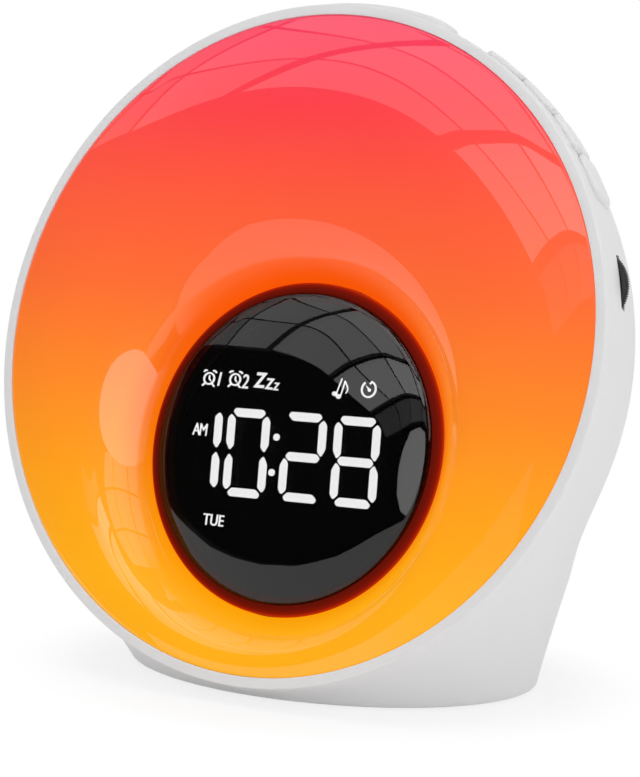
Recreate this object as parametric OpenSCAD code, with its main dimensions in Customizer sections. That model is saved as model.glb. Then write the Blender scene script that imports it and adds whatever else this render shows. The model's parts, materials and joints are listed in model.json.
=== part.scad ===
// Sunrise alarm clock: a round, tilted glowing lens on a domed white body with a wide foot.
// The origin is on the table, in the middle of the clock's footprint box; the lens faces -Y.

/* [Body] */
// Diameter of the white rim round the lens
rim_d = 184; // [170:1:225]
// Width of the white rim seen round the lens
rim_w = 3; // [2.5:0.1:5]
// Backward tilt of the face, in degrees
face_tilt = 16.5; // [10:0.5:22]
// Height of the rim's lowest point over the table
rim_lift = 5.3; // [4:0.1:12]
// From the middle of the rim straight back to the rear face
back_reach = 63; // [56:0.5:72]
// Thickness of the housing wall
wall = 2.5; // [2:0.1:3]

/* [Foot] */
// Width of the foot on the table
foot_w = 121; // [105:1:146]
// Depth of the foot on the table
foot_d = 79.4; // [72:0.2:90]
// Height at which the foot has run into the domed body
blend_h = 55; // [48:1:60]
// Gap under the housing's lower edge
table_gap = 0.4; // [0.3:0.1:0.8]

/* [Lens] */
// Height of the lens crown over the rim
lens_crown = 11; // [6:0.5:13.5]
// How far the lip round the display lies behind the rim
lip_depth = 12.1; // [9:0.1:13]
// Diameter of the lip round the display
lip_d = 90.8; // [75:0.2:94]
// Width of the lens at its narrowest, under the display
low_band = 16.4; // [14:0.2:20]
// Thickness of the lens, measured straight through the face
lens_t = 3; // [2:0.1:3.2]

/* [Display] */
// Width of the dark red ring between the lip and the window
ring_w = 3.3; // [2.8:0.1:5]
// Bulge of the window over its own edge
window_crest = 9; // [6:0.5:10]
// Thickness of the window
window_t = 2; // [1.5:0.1:2.2]
// Height of a digit
digit_h = 24.2; // [20:0.2:26]
// Width of a digit
digit_w = 13.6; // [12:0.2:14]
// Thickness of a digit's segment
stroke = 2.4; // [2.2:0.1:3.4]

/* [Buttons] */
// Length of the long bar on top
bar_len = 63; // [44:0.2:64]
// Distance along the wall from the bar to the row of buttons
bank_gap = 13.5; // [13:0.1:22]
// Spacing of the four side buttons
cap_pitch = 13.5; // [12:0.1:14.5]
// Gap between neighbouring side buttons
cap_gap = 0.9; // [0.6:0.1:1.4]
// Width of the bar and the buttons, from front to back
cap_w = 11; // [9:0.2:11.4]
// How far the bar stands out of the wall
bar_proud = 2.4; // [1:0.1:2.8]
// How far the side buttons stand out of the wall
cap_proud = 1.4; // [1:0.1:2.2]
// Travel of the bar
bar_travel = 1; // [0.6:0.1:1]
// Travel of a side button
cap_travel = 0.8; // [0.5:0.1:0.8]

/* [Volume wheel] */
// Diameter of the wheel
wheel_d = 21; // [17:0.2:21.4]
// Thickness of the wheel
wheel_t = 2; // [1.8:0.1:3]
// How far the wheel stands out of the wall
wheel_proud = 2; // [1.2:0.1:3]
// Distance along the wall from the side buttons to the wheel
wheel_gap = 21.6; // [20:0.1:26]

/* [Speaker and power] */
// Diameter of the speaker
speaker_d = 50; // [40:1:50]
// Diameter of a sound hole
sound_hole_d = 2.2; // [1.6:0.1:2.6]
// Bore of the power socket
socket_bore = 5.5; // [5:0.1:5.8]

/* [Base] */
// Thickness of the base plate
plate_t = 2.2; // [2:0.1:2.6]
// Diameter of a rubber foot
pad_d = 12; // [10:0.5:13]
// Diameter of the backup cell
cell_d = 20; // [16:0.5:20]
// Thickness of the backup cell
cell_t = 3.2; // [1.6:0.1:3.2]

/* [Hidden] */
$fn = 96;

big = 260;                 // larger than the clock, for cutting planes
eps = 0.01;                // overlap of a cutting tool past the face that it cuts
fit = 0.15;                // gap between a moulded piece and its seat
running = 0.03;            // gap between a shaft and its bore
thread_fit = 0.05;         // gap between a screw and its hole

// Body and face
rim_r = rim_d / 2;
lens_r = rim_r - rim_w;
bore_r = lens_r + fit;
front_y = -rim_r * sin(face_tilt);
face_y = -(back_reach + front_y) / 2;
back_y = face_y + back_reach;
face_h = rim_r * cos(face_tilt) + rim_lift;
back_r = sqrt(rim_r * rim_r - back_reach * back_reach);
inner_r = rim_r - wall;
lens_seat = 3;             // depth of the ledge that carries the lens
ledge_t = 1.6;
ledge_w = 4.5;
ledge_r = lens_r - ledge_w;
inside_z = -(lens_seat + ledge_t);

// Foot
foot_y = back_y - foot_d / 2;
foot_sides = 72;
slab = 0.5;                // thickness of the two slabs that the foot is stretched between
tuck = 0.4;                // how far the foot's upper slab lies inside the dome
foot_setback = 2;          // the foot starts this far behind the rim's face
blend_r = sqrt(rim_r * rim_r - (face_h - blend_h) * (face_h - blend_h));

// Lens and display
lip_r = lip_d / 2;
display_drop = lens_r - lip_r - low_band;
crown_power = 3;
dish_rise = 15;            // height that the dish gains close to the lip
dish_reach = 8;            // distance in which it gains most of that height
dish_slope = 0.12;
soft_edge = 1.6;           // rounding where the dish meets the crown
lens_edge_drop = 0.3;      // the lens edge lies this far behind the rim
lens_sides = 72;
lens_rings = 14;
skirt_w = 2;
window_r = lip_r - ring_w;
window_z = -(lip_depth - 1.4);
window_edge = 2.5;         // height of the window's straight edge
window_sphere = (window_r * window_r + window_crest * window_crest) / (2 * window_crest);
ring_r = lip_r - fit;
ring_seat_z = window_z - window_edge;
ring_t = 1.8;
ring_ledge = 2.2;
panel_r = window_r - 6.1;
panel_z = -11.2;
panel_t = 7;
segment_t = 0.3;
board_t = 1.6;
display_board_r = lip_r - 4.4;
display_board_z = panel_z - panel_t - board_t;
shroud_r = lip_r - 0.2;
shroud_t = 2.2;
shroud_flange_w = 3.3;
shroud_flange_t = 1.6;
shroud_notch_r = 1.5;
shroud_screw_y = shroud_r + 1.75;
digit_lean = 3;            // slant of the digits to the left, in degrees
digit_y = -2.4;            // middle of the digits' row over the display's axis
digit_x = [-29, -13.7, 3.9, 20.2];
segment_gap = 0.5;
dot_r = 1;
dot_x = -4.9;
dot_y = [2.4, -7.2];
icon_h = 4.2;
icon_y = 0.45 * panel_r;
icon_x = [for (share = [-0.76, -0.53, -0.3, 0.35, 0.585]) share * panel_r];

// Reflector tray and lamp board
tray_drop = 4;
tray_r = rim_r - 20;
tray_t = 1.6;
tray_low_r = lip_r + 10.4; // second round of the tub, about the display's axis
tray_flange_t = 1.5;
tray_flange_r = inner_r - 3;
tray_floor_z = -26;
tray_top = inside_z;
tray_screw_r = rim_r - 11;
tray_screw_at = [100, 150, 210, 260, 320];
shroud_screw_at = [90, 210, 330];
tray_hole_r = 38;
lamp_board_t = 1.2;
lamp_board_r = tray_r - tray_t - 2.4;
lamp_clear = 1;            // lamp board to shroud flange
led_l = 3.5;
led_w = 2.8;
led_t = 1.9;
led_rows = [[lamp_board_r - 5, 16, 0], [lamp_board_r - 22, 9, 18], [lamp_board_r - 36, 5, 28]];

// Main board
main_w = 92;
main_h = 58;
main_y = 6;
main_gap = 5.6;
main_z = tray_floor_z - main_gap - board_t;
ribbon_w = 14;
ribbon_t = 0.3;
ribbon_y = 26 - display_drop;
standoff_r = 2.6;
standoff_inset = 4;
standoff_grip = 4;         // length of a screw in its standoff
chip_w = 14;
chip_t = 1.6;
chip_at = [-24, 6];
sound_chip_l = 10;
sound_chip_w = 6;
sound_chip_t = 1.8;
sound_chip_at = [12, 12];
capacitor_r = 3.2;
capacitor_h = 9;
capacitor_x = [-34, 30, 38];
capacitor_y = -12;
plug_l = 10;
plug_w = 6;
plug_h = 5;
plug_x = [-35, -5, 19];
plug_y = 26;

// Fasteners
screw_r = 1.25;
head_r = 2.4;
head_h = 1.4;
screw_l = 8;
small_screw_r = 0.7;
small_head_r = 1.3;
small_head_h = 0.8;
cross_w = 0.6;             // width of the cross in a screw's head
boss_r = 3.1;
tray_boss_h = 10;

// Buttons, in a frame that looks along the wall's outward normal
cap_setback = 6;           // front edge of the caps behind the rim's face
cap_z = -(cap_setback + cap_w / 2);
cap_play = 0.25;           // gap between a cap and its window
cap_corner = 2.2;
flange_t = 1.2;
flange_w = 0.9;
flange_gap = 0.3;
bank_len = 4 * cap_pitch - cap_gap;
cap_x = [for (i = [0:3]) (i - 1.5) * cap_pitch];
bar_half = asin(bar_len / 2 / rim_r);
bank_half = asin(bank_len / 2 / rim_r);
bank_angle = bar_half + bank_gap / rim_r * 180 / PI + bank_half;
plunger_r = 1.7;
plunger_play = 0.08;
switch_w = 6;
switch_h = 3.5;
plunger_up = 0.7;          // plunger over its switch at rest
plunger_deep = 0.55;       // plunger inside its switch at rest
bar_board_y = rim_r - 12;
side_board_y = rim_r - 14.5;
switch_board_w = 8.4;
post_l = 2;
post_grip = 1.6;           // length of a small screw in its post
hole_spare = 0.5;          // depth of a blind hole past its screw
cut_y = rim_r + 5;         // past the wall
bar_post_x = bar_len / 2 + 2.3;
side_post_x = bank_len / 2 + 2;
bar_switch_x = bar_len / 2 - 16;

// Volume wheel
wheel_r = wheel_d / 2;
wheel_z = -12.9;
wheel_y = sqrt(rim_r * rim_r - wheel_z * wheel_z) + wheel_proud - wheel_r;
wheel_angle = bank_angle + bank_half + wheel_gap / rim_r * 180 / PI;
knurls = 100;
knurl_depth = 0.25;
recess_t = 0.6;            // depth of the ring-shaped recess in the wheel's front
recess_rim = 1.6;
hub_w = 2;
slot_play = 0.4;
shaft_r = 1.5;
control_r = 3.4;
control_t = 2.5;
control_gap = 0.3;
wheel_back_z = wheel_z - wheel_t / 2;
volume_board_z = wheel_back_z - control_gap - control_t;
volume_board_w = 14;
volume_board_y = [wheel_y - control_r - 4.8, inner_r - 2.7];
bracket_t = 5;
bracket_back = 1;
volume_screw_y = volume_board_y[0] + 2.6;
volume_screw_grip = 3.4;   // length of its screw in the bracket

// Rear cover, speaker and power socket
cover_r = back_r - 5;
cover_t = 2;
cover_ledge_w = 9;
cover_ledge_t = 2.2;
cover_screw_r = cover_r - 4.5;
rear_boss_h = 8;
speaker_r = speaker_d / 2;
speaker_up = -7;
speaker_flange_t = 1.2;
speaker_deep = 10;
magnet_r = 13;
magnet_t = 6;
magnet_neck_r = magnet_r + 1;
speaker_rim = 2.5;
basket_t = 1;
cone_t = 0.5;
cone_mid_r = 5;
cone_dome = 1.5;           // height of the dust cap in the middle of the cone
cone_roll = 2.5;           // width of the cone's outer roll
cone_deep = 6;
cone_lip = 0.6;            // the cone's edge lies this far under the cover
sound_rings = 4;
sound_pitch = 4.2;
socket_x = -18;
socket_y = -40;
socket_w = 10;
socket_h = 11;
socket_l = 12;
socket_nose_r = 3.9;
socket_pin_r = 1;
socket_deep = 9;

// Base
plate_z = table_gap + 0.4;
plate_top = plate_z + plate_t;
plate_play = 0.4;
pad_x = 36;
pad_y = 18;
pad_sink = 0.8;
base_boss_h = 6.2;
base_boss_at = [[46, 2], [-46, 2], [24, -25], [-24, -25]];
base_screw_l = 6;
rib_t = 2;
rib_l = 30;                // longer than any rib, which ends in the wall
counter_r = 2.8;
counter_deep = 1;
door_r = cell_d / 2 + 2;
door_t = 1.4;
door_step_r = 8;
coin_slot_w = 1.8;
coin_slot_deep = 0.9;
cell_play = 0.4;
cup_t = 1.2;
cell_z = plate_top;
door_play = 0.15;
cell_y = 6;
spring_r = 4;
spring_t = 0.8;

// ---- frames ----

// Middle of the rim: x to the right, y up along the face, z out of the front
module on_face() {
  translate([0, face_y, face_h]) rotate([90 - face_tilt, 0, 0]) children();
}

// The display's axis in the same frame
module on_display() {
  on_face() translate([0, -display_drop, 0]) children();
}

// A place on the wall, clockwise from the top: y points out of the wall
module at_clock(angle) {
  on_face() rotate([0, 0, -angle]) children();
}

// Rear face: z points out of the back, y up
module on_back() {
  translate([0, back_y, face_h]) rotate([90, 0, 180]) children();
}

// ---- shared shapes ----

function ellipse(a, b) =
  [for (i = [0:foot_sides - 1]) [a * cos(360 * i / foot_sides), b * sin(360 * i / foot_sides)]];

module half_space_behind(z) {
  translate([-big, -big, z - 2 * big]) cube(2 * big);
}

module tube(outer, inner, h) {
  difference() {
    cylinder(r = outer, h = h);
    translate([0, 0, -1]) cylinder(r = inner, h = h + 2);
  }
}

// Rounded rectangle in the x-z plane, extruded along y
module wall_prism(l, w, corner, y0, y1, z) {
  translate([0, y1, z]) rotate([90, 0, 0]) linear_extrude(y1 - y0) {
    square([l - 2 * corner, w], center = true);
    square([l, w - 2 * corner], center = true);
    for (sx = [-1, 1], sy = [-1, 1])
      translate([sx * (l / 2 - corner), sy * (w / 2 - corner)]) circle(r = corner);
  }
}

// Head on the origin's plane with its shank along -z
module screw(length, shank = screw_r, head = head_r, height = head_h) {
  cross_l = head * 1.2;
  difference() {
    cylinder(r = head, h = height);
    for (turn = [0, 90]) rotate(turn)
      translate([-cross_l / 2, -cross_w / 2, height / 2]) cube([cross_l, cross_w, height]);
  }
  translate([0, 0, -length]) cylinder(r = shank, h = length);
}

module small_screw(length) {
  screw(length, small_screw_r, small_head_r, small_head_h);
}

// The same thing at each of a group's places
module at_base_screws() {
  for (p = base_boss_at) translate([p[0], foot_y + p[1], 0]) children();
}

module at_cover_screws() {
  on_back() for (a = [45:90:315]) rotate(a) translate([cover_screw_r, 0, 0]) children();
}

module at_tray_screws() {
  for (a = tray_screw_at) at_clock(a) translate([0, tray_screw_r, tray_top]) children();
}

module at_shroud_screws() {
  for (a = shroud_screw_at) rotate(a) translate([shroud_screw_y, 0, 0]) children();
}

module at_standoffs() {
  for (sx = [-1, 1], sy = [-1, 1])
    translate([sx * (main_w / 2 - standoff_inset), main_y + sy * (main_h / 2 - standoff_inset), 0])
      children();
}

module at_pads() {
  for (sx = [-1, 1], sy = [-1, 1]) translate([sx * pad_x, foot_y + sy * pad_y, 0]) children();
}

// ---- housing ----

module foot_block(inset) {
  hull() {
    translate([0, foot_y, 0]) linear_extrude(slab)
      polygon(ellipse(foot_w / 2 - inset, foot_d / 2 - inset));
    translate([0, face_y, blend_h - slab]) cylinder(r = blend_r - inset - tuck, h = slab, $fn = 64);
  }
}

// The domed body with its foot, drawn inwards by inset
module body_block(inset) {
  intersection() {
    union() {
      on_face() sphere(r = rim_r - inset);
      intersection() {
        foot_block(inset);
        on_face() half_space_behind(-foot_setback - inset);
      }
    }
    translate([-big, back_y - inset - 2 * big, inset > 0 ? -1 : table_gap]) cube(2 * big);
  }
}

module shell_carriers() {
  // tray bosses with ribs out to the wall
  at_tray_screws() translate([0, 0, -tray_flange_t - tray_boss_h]) {
    cylinder(r = boss_r, h = tray_boss_h);
    translate([-rib_t / 2, boss_r / 2, 0]) cube([rib_t, rib_l, tray_boss_h]);
  }
  // base bosses with ribs out to the foot's wall
  for (p = base_boss_at) translate([p[0], foot_y + p[1], plate_top]) {
    cylinder(r = boss_r, h = base_boss_h);
    rotate(p[1] < 0 ? -90 : p[0] > 0 ? 0 : 180)
      translate([boss_r / 2, -rib_t / 2, 0]) cube([rib_l, rib_t, base_boss_h]);
  }
  // posts for the two switch boards
  at_clock(0) switch_posts(bar_post_x, bar_board_y);
  at_clock(bank_angle) switch_posts(side_post_x, side_board_y);
  // bracket under the volume control
  at_clock(wheel_angle)
    translate([-volume_board_w / 2, volume_board_y[0] + bracket_back, volume_board_z - board_t - bracket_t])
      cube([volume_board_w, rib_l, bracket_t]);
  // ledge and bosses for the rear cover
  on_back() {
    translate([0, 0, -cover_t - cover_ledge_t])
      tube(cover_r + 2, cover_r - cover_ledge_w, cover_ledge_t);
  }
  at_cover_screws() translate([0, 0, -cover_t - cover_ledge_t - rear_boss_h])
    cylinder(r = boss_r, h = rear_boss_h + cover_ledge_t / 2);
}

module switch_posts(post_x, board_y) {
  for (s = [-1, 1]) translate([s * post_x - post_l / 2, board_y, cap_z - switch_board_w / 2])
    cube([post_l, rib_l, switch_board_w]);
}

// Screw holes in the posts, or in the board that they carry
module switch_post_holes(post_x, y, depth) {
  for (s = [-1, 1]) translate([s * post_x, y - eps, cap_z]) rotate([-90, 0, 0])
    cylinder(r = small_screw_r + thread_fit, h = depth + 2 * eps);
}

module housing_shell() {
  color("whitesmoke") difference() {
    union() {
      difference() {
        body_block(0);
        intersection() {
          body_block(wall);
          on_face() half_space_behind(inside_z);
        }
      }
      intersection() {
        shell_carriers();
        body_block(wall / 2);
      }
    }
    // front opening: everything ahead of the rim's face, the lens seat and the ledge's hole
    on_face() translate([-big, -big, 0]) cube(2 * big);
    on_face() translate([0, 0, -lens_seat]) cylinder(r = bore_r, h = lens_seat + 1);
    on_face() translate([0, 0, inside_z - eps]) cylinder(r = ledge_r, h = ledge_t + 1);
    // rear opening
    on_back() translate([0, 0, -cover_t]) cylinder(r = cover_r + fit, h = cover_t + 1);
    on_back() translate([0, 0, -cover_t - cover_ledge_t - 1]) cylinder(r = cover_r - cover_ledge_w, h = 10);
    // windows for the bar and the side buttons
    at_clock(0)
      wall_prism(bar_len + 2 * cap_play, cap_w + 2 * cap_play, cap_w / 2, bar_board_y, cut_y, cap_z);
    at_clock(bank_angle) for (x = cap_x) translate([x, 0, 0])
      wall_prism(cap_pitch - cap_gap + 2 * cap_play, cap_w + 2 * cap_play, cap_corner + cap_play,
                 side_board_y, cut_y, cap_z);
    // slot for the volume wheel
    at_clock(wheel_angle) translate([0, wheel_y, wheel_z - wheel_t / 2 - slot_play])
      cylinder(r = wheel_r + slot_play, h = wheel_t + 2 * slot_play);
    // screw holes
    at_tray_screws() translate([0, 0, -screw_l - hole_spare])
      cylinder(r = screw_r + thread_fit, h = screw_l);
    at_base_screws() translate([0, 0, plate_top - 1])
      cylinder(r = screw_r + thread_fit, h = base_screw_l);
    at_cover_screws() translate([0, 0, -head_h - screw_l - hole_spare])
      cylinder(r = screw_r + thread_fit, h = screw_l);
    at_clock(0) switch_post_holes(bar_post_x, bar_board_y, post_grip + hole_spare);
    at_clock(bank_angle) switch_post_holes(side_post_x, side_board_y, post_grip + hole_spare);
    at_clock(wheel_angle) translate([0, volume_screw_y, volume_board_z - board_t - bracket_t])
      cylinder(r = small_screw_r + thread_fit, h = bracket_t + 1);
  }
}

// ---- lens ----

// Height of the crown over the rim at a distance from the rim's middle
function crown(d) = lens_crown * (1 - pow(d / lens_r, crown_power)) - lens_edge_drop;
// Height of the dish at a distance from the lip
function dish(d) = -lip_depth + dish_rise * (1 - exp(-d / dish_reach)) + dish_slope * d;
function soft_min(a, b, k) = -k * ln(exp(-a / k) + exp(-b / k));
// Height of the lens at a point of the face
function lens_height(p) =
  let (d = norm(p), s = max(0, norm([p[0], p[1] + display_drop]) - lip_r))
    d > lens_r - 0.01 ? -lens_edge_drop : s < 0.01 ? -lip_depth : soft_min(crown(d), dish(s), soft_edge);
// Height of its underside, which stays on its seat at the edge and over the housing's ledge
function lens_low(p) =
  let (free = lens_height(p) - lens_t)
    norm(p) > lens_r - skirt_w ? -lens_seat : norm(p) > ledge_r - skirt_w ? max(free, -lens_seat) : free;
// Ring w of the lens, from its edge at 0 to the lip at 1
function lens_ring(w) =
  [for (i = [0:lens_sides - 1])
    let (a = 360 * i / lens_sides, r = lens_r + (lip_r - lens_r) * w)
      [r * cos(a), -display_drop * w + r * sin(a)]];

module diffuser_lens() {
  steps = [for (k = [0:lens_rings]) let (t = k / lens_rings) 0.5 - 0.5 * cos(180 * t)];
  rings = [for (w = steps) lens_ring(w)];
  n = lens_sides;
  m = lens_rings + 1;
  top = [for (ring = rings, p = ring) [p[0], p[1], lens_height(p)]];
  low = [for (ring = rings, p = ring) [p[0], p[1], lens_low(p)]];
  top_faces = [for (j = [0:m - 2], i = [0:n - 1])
    [j * n + i, j * n + (i + 1) % n, (j + 1) * n + (i + 1) % n, (j + 1) * n + i]];
  low_faces = [for (j = [0:m - 2], i = [0:n - 1])
    [(m + j) * n + i, (m + j + 1) * n + i, (m + j + 1) * n + (i + 1) % n, (m + j) * n + (i + 1) % n]];
  rim_faces = [for (i = [0:n - 1]) [i, m * n + i, m * n + (i + 1) % n, (i + 1) % n]];
  lip_faces = [for (i = [0:n - 1])
    [(m - 1) * n + i, (m - 1) * n + (i + 1) % n, (2 * m - 1) * n + (i + 1) % n, (2 * m - 1) * n + i]];
  function halves(f) = [for (q = f) each [[q[2], q[1], q[0]], [q[3], q[2], q[0]]]];
  color("tomato") on_face()
    polyhedron(points = concat(top, low),
               faces = halves(concat(top_faces, low_faces, rim_faces, lip_faces)));
}

// ---- display ----

module display_ring() {
  top_out = -lip_depth - 0.2;
  color("darkred") on_display() rotate_extrude()
    polygon([
      [ring_r, ring_seat_z - ring_t], [ring_r, top_out], [window_r + fit, window_z - 0.2],
      [window_r + fit, ring_seat_z], [window_r - ring_ledge, ring_seat_z],
      [window_r - ring_ledge, ring_seat_z - ring_t]
    ]);
}

module display_window() {
  sphere_z = window_z + window_crest - window_sphere;
  tall = window_crest + window_edge + 2;
  color([0.05, 0.05, 0.06]) on_display() difference() {
    intersection() {
      translate([0, 0, sphere_z]) sphere(r = window_sphere);
      translate([0, 0, ring_seat_z]) cylinder(r = window_r, h = tall);
    }
    intersection() {
      translate([0, 0, sphere_z]) sphere(r = window_sphere - window_t);
      translate([0, 0, ring_seat_z - 1]) cylinder(r = window_r - window_t, h = tall);
    }
  }
}

module display_panel() {
  color([0.08, 0.08, 0.08]) on_display() translate([0, 0, panel_z - panel_t])
    cylinder(r = panel_r, h = panel_t);
}

// Six-sided bar along x, pointed at both ends
module segment(length) {
  h = stroke / 2;
  polygon([[-length / 2, 0], [-length / 2 + h, h], [length / 2 - h, h],
           [length / 2, 0], [length / 2 - h, -h], [-length / 2 + h, -h]]);
}

// Segments of a digit: a top, b and c right, d bottom, e and f left, g middle
module digit_segments(parts) {
  flat = digit_w - stroke;
  tall = (digit_h - stroke) / 2;
  for (s = parts) {
    if (s == "a") translate([0, tall]) segment(flat - segment_gap);
    if (s == "g") segment(flat - segment_gap);
    if (s == "d") translate([0, -tall]) segment(flat - segment_gap);
    if (s == "b") translate([flat / 2, tall / 2]) rotate(90) segment(tall - segment_gap);
    if (s == "c") translate([flat / 2, -tall / 2]) rotate(90) segment(tall - segment_gap);
    if (s == "e") translate([-flat / 2, -tall / 2]) rotate(90) segment(tall - segment_gap);
    if (s == "f") translate([-flat / 2, tall / 2]) rotate(90) segment(tall - segment_gap);
  }
}

module display_segments() {
  all = ["a", "b", "c", "d", "e", "f", "g"];
  first = ["b", "c"];
  color("white") on_display() translate([0, 0, panel_z]) {
    for (i = [0:3]) translate([digit_x[i], digit_y, 0]) rotate([0, 0, digit_lean])
      linear_extrude(segment_t) digit_segments(i == 0 ? first : all);
    for (y = dot_y) translate([dot_x, y, 0]) cylinder(r = dot_r, h = segment_t);
    for (x = icon_x) translate([x, icon_y, 0]) cylinder(r = icon_h / 2, h = segment_t);
  }
}

module display_board() {
  color("darkgreen") on_display() difference() {
    translate([0, 0, display_board_z]) cylinder(r = display_board_r, h = board_t);
    for (a = shroud_screw_at) rotate(a) translate([display_board_r, 0, display_board_z - 1])
      cylinder(r = shroud_notch_r, h = board_t + 2);
  }
}

module display_shroud() {
  top = ring_seat_z - ring_t;
  floor_z = tray_floor_z + tray_t;
  mid_r = shroud_r - shroud_t / 2;
  color([0.1, 0.1, 0.1]) on_display() difference() {
    union() {
      translate([0, 0, floor_z]) tube(shroud_r, shroud_r - shroud_t, top - floor_z);
      translate([0, 0, floor_z]) tube(shroud_r + shroud_flange_w, mid_r, shroud_flange_t);
      translate([0, 0, display_board_z - shroud_flange_t]) tube(mid_r, display_board_r - 2, shroud_flange_t);
    }
    at_shroud_screws() translate([0, 0, floor_z - 1])
      cylinder(r = small_screw_r + thread_fit, h = shroud_flange_t + 2);
  }
}

module shroud_screws() {
  color("silver") on_display() at_shroud_screws() translate([0, 0, tray_floor_z + tray_t + shroud_flange_t])
    small_screw(shroud_flange_t + tray_t);
}

// ---- reflector tray and lamps ----

// Round tub that also gives room to the lens's low band, from z0 to z1 on the face
module tub(inset, z0, z1) {
  translate([0, -tray_drop, z0]) cylinder(r = tray_r - inset, h = z1 - z0);
  translate([0, -display_drop, z0]) cylinder(r = tray_low_r - inset, h = z1 - z0);
}

module reflector_tray() {
  floor_top = tray_floor_z + tray_t;
  color("white") on_face() difference() {
    union() {
      tub(0, tray_floor_z, tray_top - tray_flange_t / 2);
      translate([0, 0, tray_top - tray_flange_t]) cylinder(r = tray_flange_r, h = tray_flange_t);
      at_standoffs() translate([0, 0, tray_floor_z - main_gap])
        cylinder(r = standoff_r, h = main_gap + tray_t / 2);
    }
    tub(tray_t, floor_top, 1);
    translate([0, -display_drop, tray_floor_z - 1]) cylinder(r = tray_hole_r, h = tray_t + 2);
    for (a = tray_screw_at) rotate(-a) translate([0, tray_screw_r, tray_top - tray_flange_t - 1])
      cylinder(r = screw_r + thread_fit, h = tray_flange_t + 2);
    translate([0, -display_drop, tray_floor_z - 1]) at_shroud_screws()
      cylinder(r = small_screw_r + thread_fit, h = tray_t + 2);
    at_standoffs() translate([0, 0, tray_floor_z - main_gap - 1])
      cylinder(r = screw_r + thread_fit, h = standoff_grip + hole_spare + 1);
  }
}

module tray_screws() {
  color("silver") at_tray_screws() screw(screw_l);
}

module lamp_board() {
  color("ivory") on_face() difference() {
    translate([0, -tray_drop, tray_floor_z + tray_t]) cylinder(r = lamp_board_r, h = lamp_board_t);
    translate([0, -display_drop, tray_floor_z])
      cylinder(r = shroud_r + shroud_flange_w + lamp_clear, h = tray_t + lamp_board_t + 1);
  }
}

// A lamp stands where its whole body lies on the board
function led_fits(p) =
  norm([p[0], p[1] + display_drop]) > shroud_r + shroud_flange_w + lamp_clear + led_l;

module lamp_leds() {
  color("lightyellow") on_face() for (row = led_rows, i = [0:row[1] - 1]) {
    a = -36 + 252 * i / (row[1] - 1);
    b = row[2] == 0 ? a : 180 * i / (row[1] - 1);
    p = [row[0] * cos(b), -tray_drop + row[2] + (row[0] - row[2]) * sin(b)];
    if (led_fits(p))
      translate([p[0], p[1], tray_floor_z + tray_t + lamp_board_t]) rotate([0, 0, b])
        translate([-led_l / 2, -led_w / 2, 0]) cube([led_l, led_w, led_t]);
  }
}

// ---- main board ----

module main_board() {
  color("darkgreen") on_face() difference() {
    translate([-main_w / 2, main_y - main_h / 2, main_z]) cube([main_w, main_h, board_t]);
    at_standoffs() translate([0, 0, main_z - 1]) cylinder(r = screw_r + thread_fit, h = board_t + 2);
  }
}

module board_screws() {
  color("silver") on_face() at_standoffs() translate([0, 0, main_z])
    rotate([180, 0, 0]) screw(board_t + standoff_grip);
}

module controller_chip() {
  color([0.15, 0.15, 0.15]) on_face() translate([chip_at[0], chip_at[1], main_z - chip_t])
    cube([chip_w, chip_w, chip_t]);
}

module sound_chip() {
  color([0.15, 0.15, 0.15]) on_face() translate([sound_chip_at[0], sound_chip_at[1], main_z - sound_chip_t])
    cube([sound_chip_l, sound_chip_w, sound_chip_t]);
}

module capacitors() {
  color("navy") on_face() for (x = capacitor_x) translate([x, capacitor_y, main_z - capacitor_h])
    cylinder(r = capacitor_r, h = capacitor_h);
}

module board_plugs() {
  color("ivory") on_face() for (x = plug_x) translate([x, plug_y, main_z - plug_h])
    cube([plug_l, plug_w, plug_h]);
}

// Flat cable from the display board down to the main board
module display_ribbon() {
  color("lightgray") on_face() translate([-ribbon_w / 2, ribbon_y, main_z + board_t])
    cube([ribbon_w, ribbon_t, display_board_z - main_z - board_t]);
}

// ---- buttons ----

// Cap of a button: outer face on a sphere, flange behind the wall, stems down to the plungers
module cap(l, corner, proud, travel, stems, board_y) {
  stem_y = board_y + switch_h + plunger_up;
  low_y = board_y + travel + cap_play;
  intersection() {
    union() {
      wall_prism(l, cap_w, corner, low_y, cut_y, cap_z);
      intersection() {
        wall_prism(l + 2 * flange_w, cap_w + 2 * flange_w, corner, low_y, cut_y, cap_z);
        sphere(r = inner_r - flange_gap);
      }
    }
    difference() {
      sphere(r = rim_r + proud);
      sphere(r = inner_r - flange_gap - flange_t);
    }
  }
  for (x = stems) intersection() {
    translate([x, stem_y, cap_z]) rotate([-90, 0, 0]) cylinder(r = plunger_r, h = rim_r - stem_y);
    sphere(r = rim_r);
  }
}

module snooze_bar() {
  color("whitesmoke") at_clock(0)
    cap(bar_len, cap_w / 2 - cap_play, bar_proud, bar_travel, [-bar_switch_x, bar_switch_x], bar_board_y);
}

module side_cap(i) {
  color("whitesmoke") at_clock(bank_angle) intersection() {
    union() {
      intersection() {
        translate([cap_x[i], 0, 0])
          wall_prism(cap_pitch - cap_gap, cap_w, cap_corner, side_board_y + switch_h, cut_y, cap_z);
        difference() {
          sphere(r = rim_r + cap_proud);
          sphere(r = inner_r - flange_gap - flange_t);
        }
      }
      intersection() {
        translate([cap_x[i], 0, 0])
          wall_prism(cap_pitch - cap_gap / 3, cap_w + 2 * flange_w, cap_corner, side_board_y, cut_y, cap_z);
        difference() {
          sphere(r = inner_r - flange_gap);
          sphere(r = inner_r - flange_gap - flange_t);
        }
      }
      intersection() {
        translate([cap_x[i], side_board_y + switch_h + plunger_up, cap_z]) rotate([-90, 0, 0])
          cylinder(r = plunger_r, h = 12);
        sphere(r = inner_r);
      }
    }
    translate([-big, 0, -big]) cube(2 * big);
  }
}

module side_button_1() { side_cap(0); }
module side_button_2() { side_cap(1); }
module side_button_3() { side_cap(2); }
module side_button_4() { side_cap(3); }

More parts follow.
